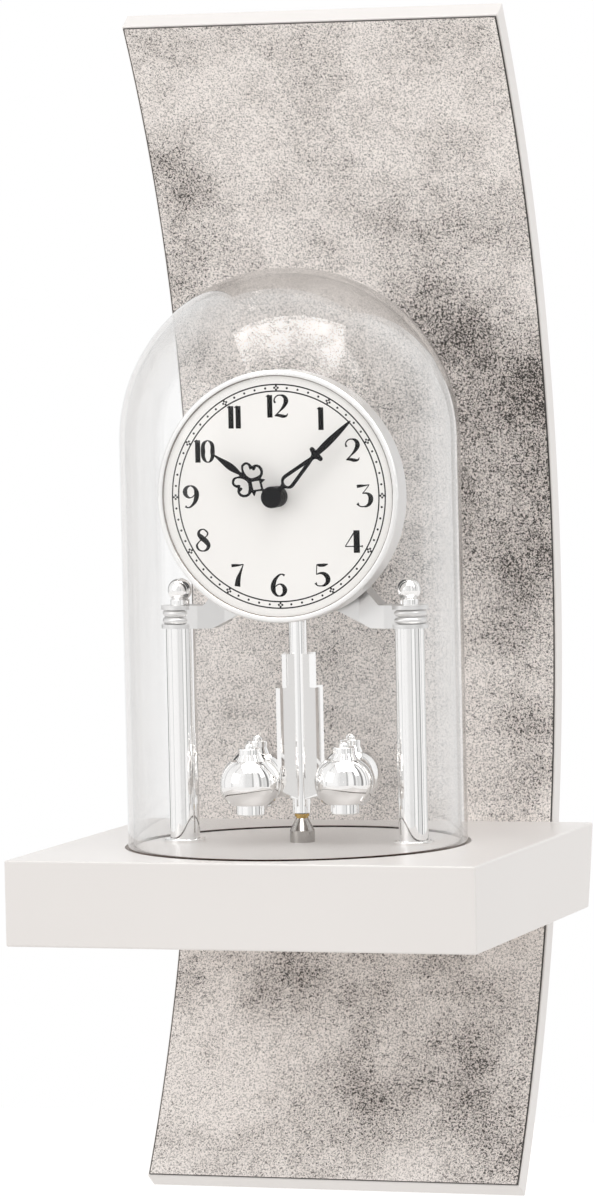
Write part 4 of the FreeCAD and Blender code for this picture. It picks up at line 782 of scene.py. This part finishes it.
class DOMECLOCK_OT_metalwork(bpy.types.Operator):
    """Finishes the chrome, steel and brass parts"""
    bl_idname = "domeclock.metalwork"
    bl_label = "Metalwork"

    def execute(self, context):
        paint("chrome", bright_chrome(context.scene.clock_settings))
        paint_nodes(("bezel_drum",), bezel_chrome(context.scene.clock_settings))
        paint_nodes(("bridge",), satin_chrome(context.scene.clock_settings))
        paint_nodes(("guide_cup",), turned_steel())
        paint("bare_steel", rolled_steel())
        paint("brass", turned_brass())
        return {"FINISHED"}


class DOMECLOCK_OT_dial(bpy.types.Operator):
    """Enamels the dial and prints its numerals"""
    bl_idname = "domeclock.dial"
    bl_label = "Dial and numerals"

    def execute(self, context):
        settings = context.scene.clock_settings
        paint("dial_white", dial_enamel(settings))
        pen = flat_pen()
        blanks = {digit: digit_blank(strokes, pen) for digit, strokes in DIGITS.items()}
        pieces = [copied(blanks[digit], on_dial(across, up, DIGIT_HEIGHT))
                  for digit, across, up in NUMERALS]
        for spare in [*blanks.values(), pen]:
            bpy.data.objects.remove(spare)
        numerals = raised(joined(pieces, "dial_numerals"), settings.ink_height)
        dress(numerals, printing_ink(settings))
        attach(numerals, "console")
        return {"FINISHED"}


class DOMECLOCK_OT_track(bpy.types.Operator):
    """Prints the minute track: two circles, a dot a minute and a diamond an hour"""
    bl_idname = "domeclock.track"
    bl_label = "Minute track"

    def execute(self, context):
        settings = context.scene.clock_settings
        pieces = []
        for radius in (TRACK_INNER, TRACK_OUTER):
            ring = ring_print(radius, TRACK_LINE)
            ring.data.transform(on_dial(0, 0))
            pieces.append(ring)
        bpy.ops.mesh.primitive_circle_add(vertices=DOT_SIDES, radius=TRACK_DOT, fill_type="NGON")
        dot = context.view_layer.objects.active
        middle = (TRACK_INNER + TRACK_OUTER) / 2
        for minute in range(60):
            turn = 2 * math.pi * minute / 60
            out = Vector((math.sin(turn), math.cos(turn)))
            aside = Vector((math.cos(turn), -math.sin(turn)))
            centre = out * middle
            if minute % 5:
                places = [centre]
            else:
                places = [centre + way * DIAMOND_REACH for way in (out, -out, aside, -aside)]
            pieces += [copied(dot, on_dial(place.x, place.y)) for place in places]
        bpy.data.objects.remove(dot)
        track = raised(joined(pieces, "minute_track"), settings.ink_height)
        dress(track, bpy.data.materials["dial_ink_screen_printed"])
        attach(track, "console")
        return {"FINISHED"}


class DOMECLOCK_OT_movement(bpy.types.Operator):
    """Finishes the hands, the case, the train, the coils, the board and the cell"""
    bl_idname = "domeclock.movement"
    bl_label = "Hands and movement"

    def execute(self, context):
        paint("black_enamel", gloss_enamel())
        paint("black_plastic", moulded_plastic("black_abs_moulded", "26272a", 0.5))
        paint("white_plastic", moulded_plastic("acetal_moulded", "e6e4de", 0.38))
        paint("copper_winding", wound_wire())
        paint("board_green", circuit_mask())
        paint("cell_jacket", printed_jacket())
        return {"FINISHED"}


# Side of the square floor: small enough for upright chrome to mirror the room past its edge.
FLOOR_SIZE = 12
# How much the floor glows where it is seen, to read as white.
FLOOR_GLOW = 0.3
# Lamps: name, place off the console's middle, width, height, the setting that holds the power,
# the share of it, and whether the lamp lights the object or is only mirrored in it.
LAMPS = (("side_softbox", (-1.9, -1.9, 0.9), 1.6, 1.6, "key_power", 1.0, True),
         ("top_softbox", (0.5, -0.7, 1.6), 1.2, 1.2, "top_power", 1.0, True),
         ("window", (0.24, -0.55, 1.5), 1.75, 1.3, "window_power", 1.0, False),
         ("side_window", (1.25, -0.42, 1.2), 0.45, 1.25, "window_power", 0.2, False))
LAMP_COLOUR = (1, 0.99, 0.98)
# Height of the camera's picture in millimetres, which its focal length goes with.
PICTURE_SIDE = 36


class DOMECLOCK_OT_studio(bpy.types.Operator):
    """Sets the floor, the room light, the lamps and the camera"""
    bl_idname = "domeclock.studio"
    bl_label = "Studio and camera"

    def execute(self, context):
        scene = context.scene
        settings = scene.studio_settings
        low, high = CAD_BOX
        centre = (low + high) / 2
        bpy.ops.object.select_all(action="DESELECT")
        bpy.ops.mesh.primitive_plane_add(
            size=FLOOR_SIZE, location=(centre.x, centre.y, low.z - settings.floor_drop))
        floor = context.view_layer.objects.active
        floor.name = "studio_floor"
        floor.data.materials.append(floor_paper())
        room_light(scene, settings)
        for name, way, width, height, power, share, lights in LAMPS:
            lamp = softbox(scene, name, centre + Vector(way), centre, width, height,
                           getattr(settings, power) * share)
            lamp.visible_diffuse = lights
        photo_camera(scene, settings)
        scene.view_settings.view_transform = "Standard"
        return {"FINISHED"}


def seen_white(tree):
    """One where a ray comes from the camera, a mirror or through glass, else nought."""
    path = add(tree, "ShaderNodeLightPath")
    first = add(tree, "ShaderNodeMath",
                [(0, path.outputs["Is Camera Ray"]), (1, path.outputs["Is Glossy Ray"])],
                operation="MAXIMUM")
    return add(tree, "ShaderNodeMath",
               [(0, first.outputs[0]), (1, path.outputs["Is Transmission Ray"])],
               operation="MAXIMUM").outputs[0]


def floor_paper():
    """Matt white paper roll: keeps the shadow and reads as white where nothing shades it."""
    material = new_material("paper_roll_matt", linear("efedeb"), tone=(0.5, 0.97),
                            Roughness=0.9, Specular_IOR_Level=0.1)
    tree, shader = inside(material)
    shader.inputs["Emission Color"].default_value = (1, 1, 1, 1)
    glow = add(tree, "ShaderNodeMath", [(0, seen_white(tree)), (1, FLOOR_GLOW)],
               operation="MULTIPLY")
    tree.links.new(glow.outputs[0], shader.inputs["Emission Strength"])
    return material


# The room as bright metal under the dome mirrors it: share of a turn from behind, and brightness.
SCREENS = ((0.0, 0.93), (0.085, 0.93), (0.10, 0.05), (0.145, 0.05), (0.16, 0.93),
           (0.215, 0.93), (0.222, 0.42), (0.229, 1.0), (0.33, 1.0), (0.34, 0.56), (0.35, 1.02),
           (0.46, 1.02), (0.50, 0.82), (0.565, 0.82), (0.572, 0.50), (0.582, 0.50),
           (0.59, 1.02), (0.643, 1.02), (0.65, 0.40), (0.665, 0.40), (0.674, 0.9), (0.70, 0.7),
           (0.73, 0.84), (0.737, 0.25), (0.755, 0.25), (0.764, 1.02), (0.79, 1.02),
           (0.80, 0.28), (0.81, 1.02), (0.90, 0.93), (0.91, 0.14), (0.93, 0.93))
# A ray that has gone into the dome and out again has passed more faces of glass than this.
GLASS_FACES = 2.5


def room_light(scene, settings):
    """Even white room, white where it is seen; metal under the dome mirrors gaps in its screens."""
    world = bpy.data.worlds.new("studio_room")
    world.use_nodes = True
    scene.world = world
    tree = world.node_tree
    ground = tree.nodes["Background"]
    ground.inputs["Color"].default_value = (1, 1, 1, 1)
    place = add(tree, "ShaderNodeTexCoord")
    way = add(tree, "ShaderNodeSeparateXYZ", [("Vector", place.outputs["Generated"])])
    front = add(tree, "ShaderNodeMath", [(0, way.outputs["Y"]), (1, -1.0)], operation="MULTIPLY")
    turn = add(tree, "ShaderNodeMath", [(0, way.outputs["X"]), (1, front.outputs[0])],
               operation="ARCTAN2")
    share = add(tree, "ShaderNodeMapRange",
                [("Value", turn.outputs[0]), ("From Min", -math.pi), ("From Max", math.pi)])
    screens = add(tree, "ShaderNodeValToRGB", [("Fac", share.outputs["Result"])],
                  [(at, opaque((level, level, level))) for at, level in SCREENS])
    path = add(tree, "ShaderNodeLightPath")
    level = add(tree, "ShaderNodeMapRange",
                [("Value", seen_white(tree)), ("To Min", settings.sky_level), ("To Max", 1.0)])
    bounced = add(tree, "ShaderNodeMath", [(0, path.outputs["Glossy Depth"]), (1, 1.0)],
                  operation="MINIMUM")
    within = add(tree, "ShaderNodeMath", [(0, path.outputs["Transparent Depth"]), (1, GLASS_FACES)],
                 operation="GREATER_THAN")
    mirrored = add(tree, "ShaderNodeMath", [(0, bounced.outputs[0]), (1, within.outputs[0])],
                   operation="MULTIPLY")
    gaps = add(tree, "ShaderNodeMix", [("Factor", mirrored.outputs[0]), ("A", 1.0),
                                       ("B", screens.outputs["Color"])])
    shown = add(tree, "ShaderNodeMath", [(0, level.outputs["Result"]), (1, gaps.outputs["Result"])],
                operation="MULTIPLY")
    tree.links.new(shown.outputs[0], ground.inputs["Strength"])


def softbox(scene, name, place, aim, width, height, power):
    """Rectangular lamp aimed at a point."""
    lamp = bpy.data.lights.new(name, "AREA")
    lamp.shape = "RECTANGLE"
    lamp.size = width
    lamp.size_y = height
    lamp.energy = power
    lamp.color = LAMP_COLOUR
    holder = bpy.data.objects.new(name, lamp)
    holder.location = place
    holder.rotation_euler = (aim - place).to_track_quat("-Z", "Y").to_euler()
    scene.collection.objects.link(holder)
    return holder


def photo_camera(scene, settings):
    """Camera at the photograph's angle, distance and focal length."""
    turn, tilt, roll = settings.camera_turn, settings.camera_tilt, settings.camera_roll
    back = Vector((math.sin(turn) * math.cos(tilt), -math.cos(turn) * math.cos(tilt),
                   math.sin(tilt)))
    level = Vector((math.cos(turn), math.sin(turn), 0))
    upward = level.cross(-back)
    across = level * math.cos(roll) + upward * math.sin(roll)
    up = upward * math.cos(roll) - level * math.sin(roll)
    data = bpy.data.cameras.new("photo_camera")
    data.lens = settings.camera_lens
    data.sensor_width = PICTURE_SIDE
    data.clip_end = 100
    camera = bpy.data.objects.new("photo_camera", data)
    scene.collection.objects.link(camera)
    turned = Matrix((across, up, back)).transposed().to_4x4()
    aim = Vector(settings.camera_aim)
    camera.matrix_world = Matrix.Translation(aim + back * settings.camera_distance) @ turned
    scene.camera = camera


STEPS = (DOMECLOCK_OT_console, DOMECLOCK_OT_decor, DOMECLOCK_OT_dome, DOMECLOCK_OT_metalwork,
         DOMECLOCK_OT_dial, DOMECLOCK_OT_track, DOMECLOCK_OT_movement, DOMECLOCK_OT_studio)


class DOMECLOCK_PT_panel(bpy.types.Panel):
    """Lists the steps that finish the clock"""
    bl_idname = "DOMECLOCK_PT_panel"
    bl_label = "Dome Clock"
    bl_space_type = "VIEW_3D"
    bl_region_type = "UI"
    bl_category = "Dome Clock"

    def draw(self, context):
        column = self.layout.column()
        for step in STEPS:
            column.operator(step.bl_idname)
        for group in (context.scene.console_settings, context.scene.clock_settings,
                      context.scene.studio_settings):
            box = self.layout.box()
            for name in group.__annotations__:
                box.prop(group, name)


CLASSES = (ConsoleSettings, ClockSettings, StudioSettings, *STEPS, DOMECLOCK_PT_panel)


def register():
    for cls in CLASSES:
        bpy.utils.register_class(cls)
    bpy.types.Scene.console_settings = PointerProperty(type=ConsoleSettings)
    bpy.types.Scene.clock_settings = PointerProperty(type=ClockSettings)
    bpy.types.Scene.studio_settings = PointerProperty(type=StudioSettings)


def unregister():
    del bpy.types.Scene.console_settings
    del bpy.types.Scene.clock_settings
    del bpy.types.Scene.studio_settings
    for cls in reversed(CLASSES):
        bpy.utils.unregister_class(cls)


def main():
    register()
    bpy.ops.domeclock.console()
    bpy.ops.domeclock.decor()
    bpy.ops.domeclock.dome()
    bpy.ops.domeclock.metalwork()
    bpy.ops.domeclock.dial()
    bpy.ops.domeclock.track()
    bpy.ops.domeclock.movement()
    bpy.ops.domeclock.studio()


if __name__ == "__main__":
    main()
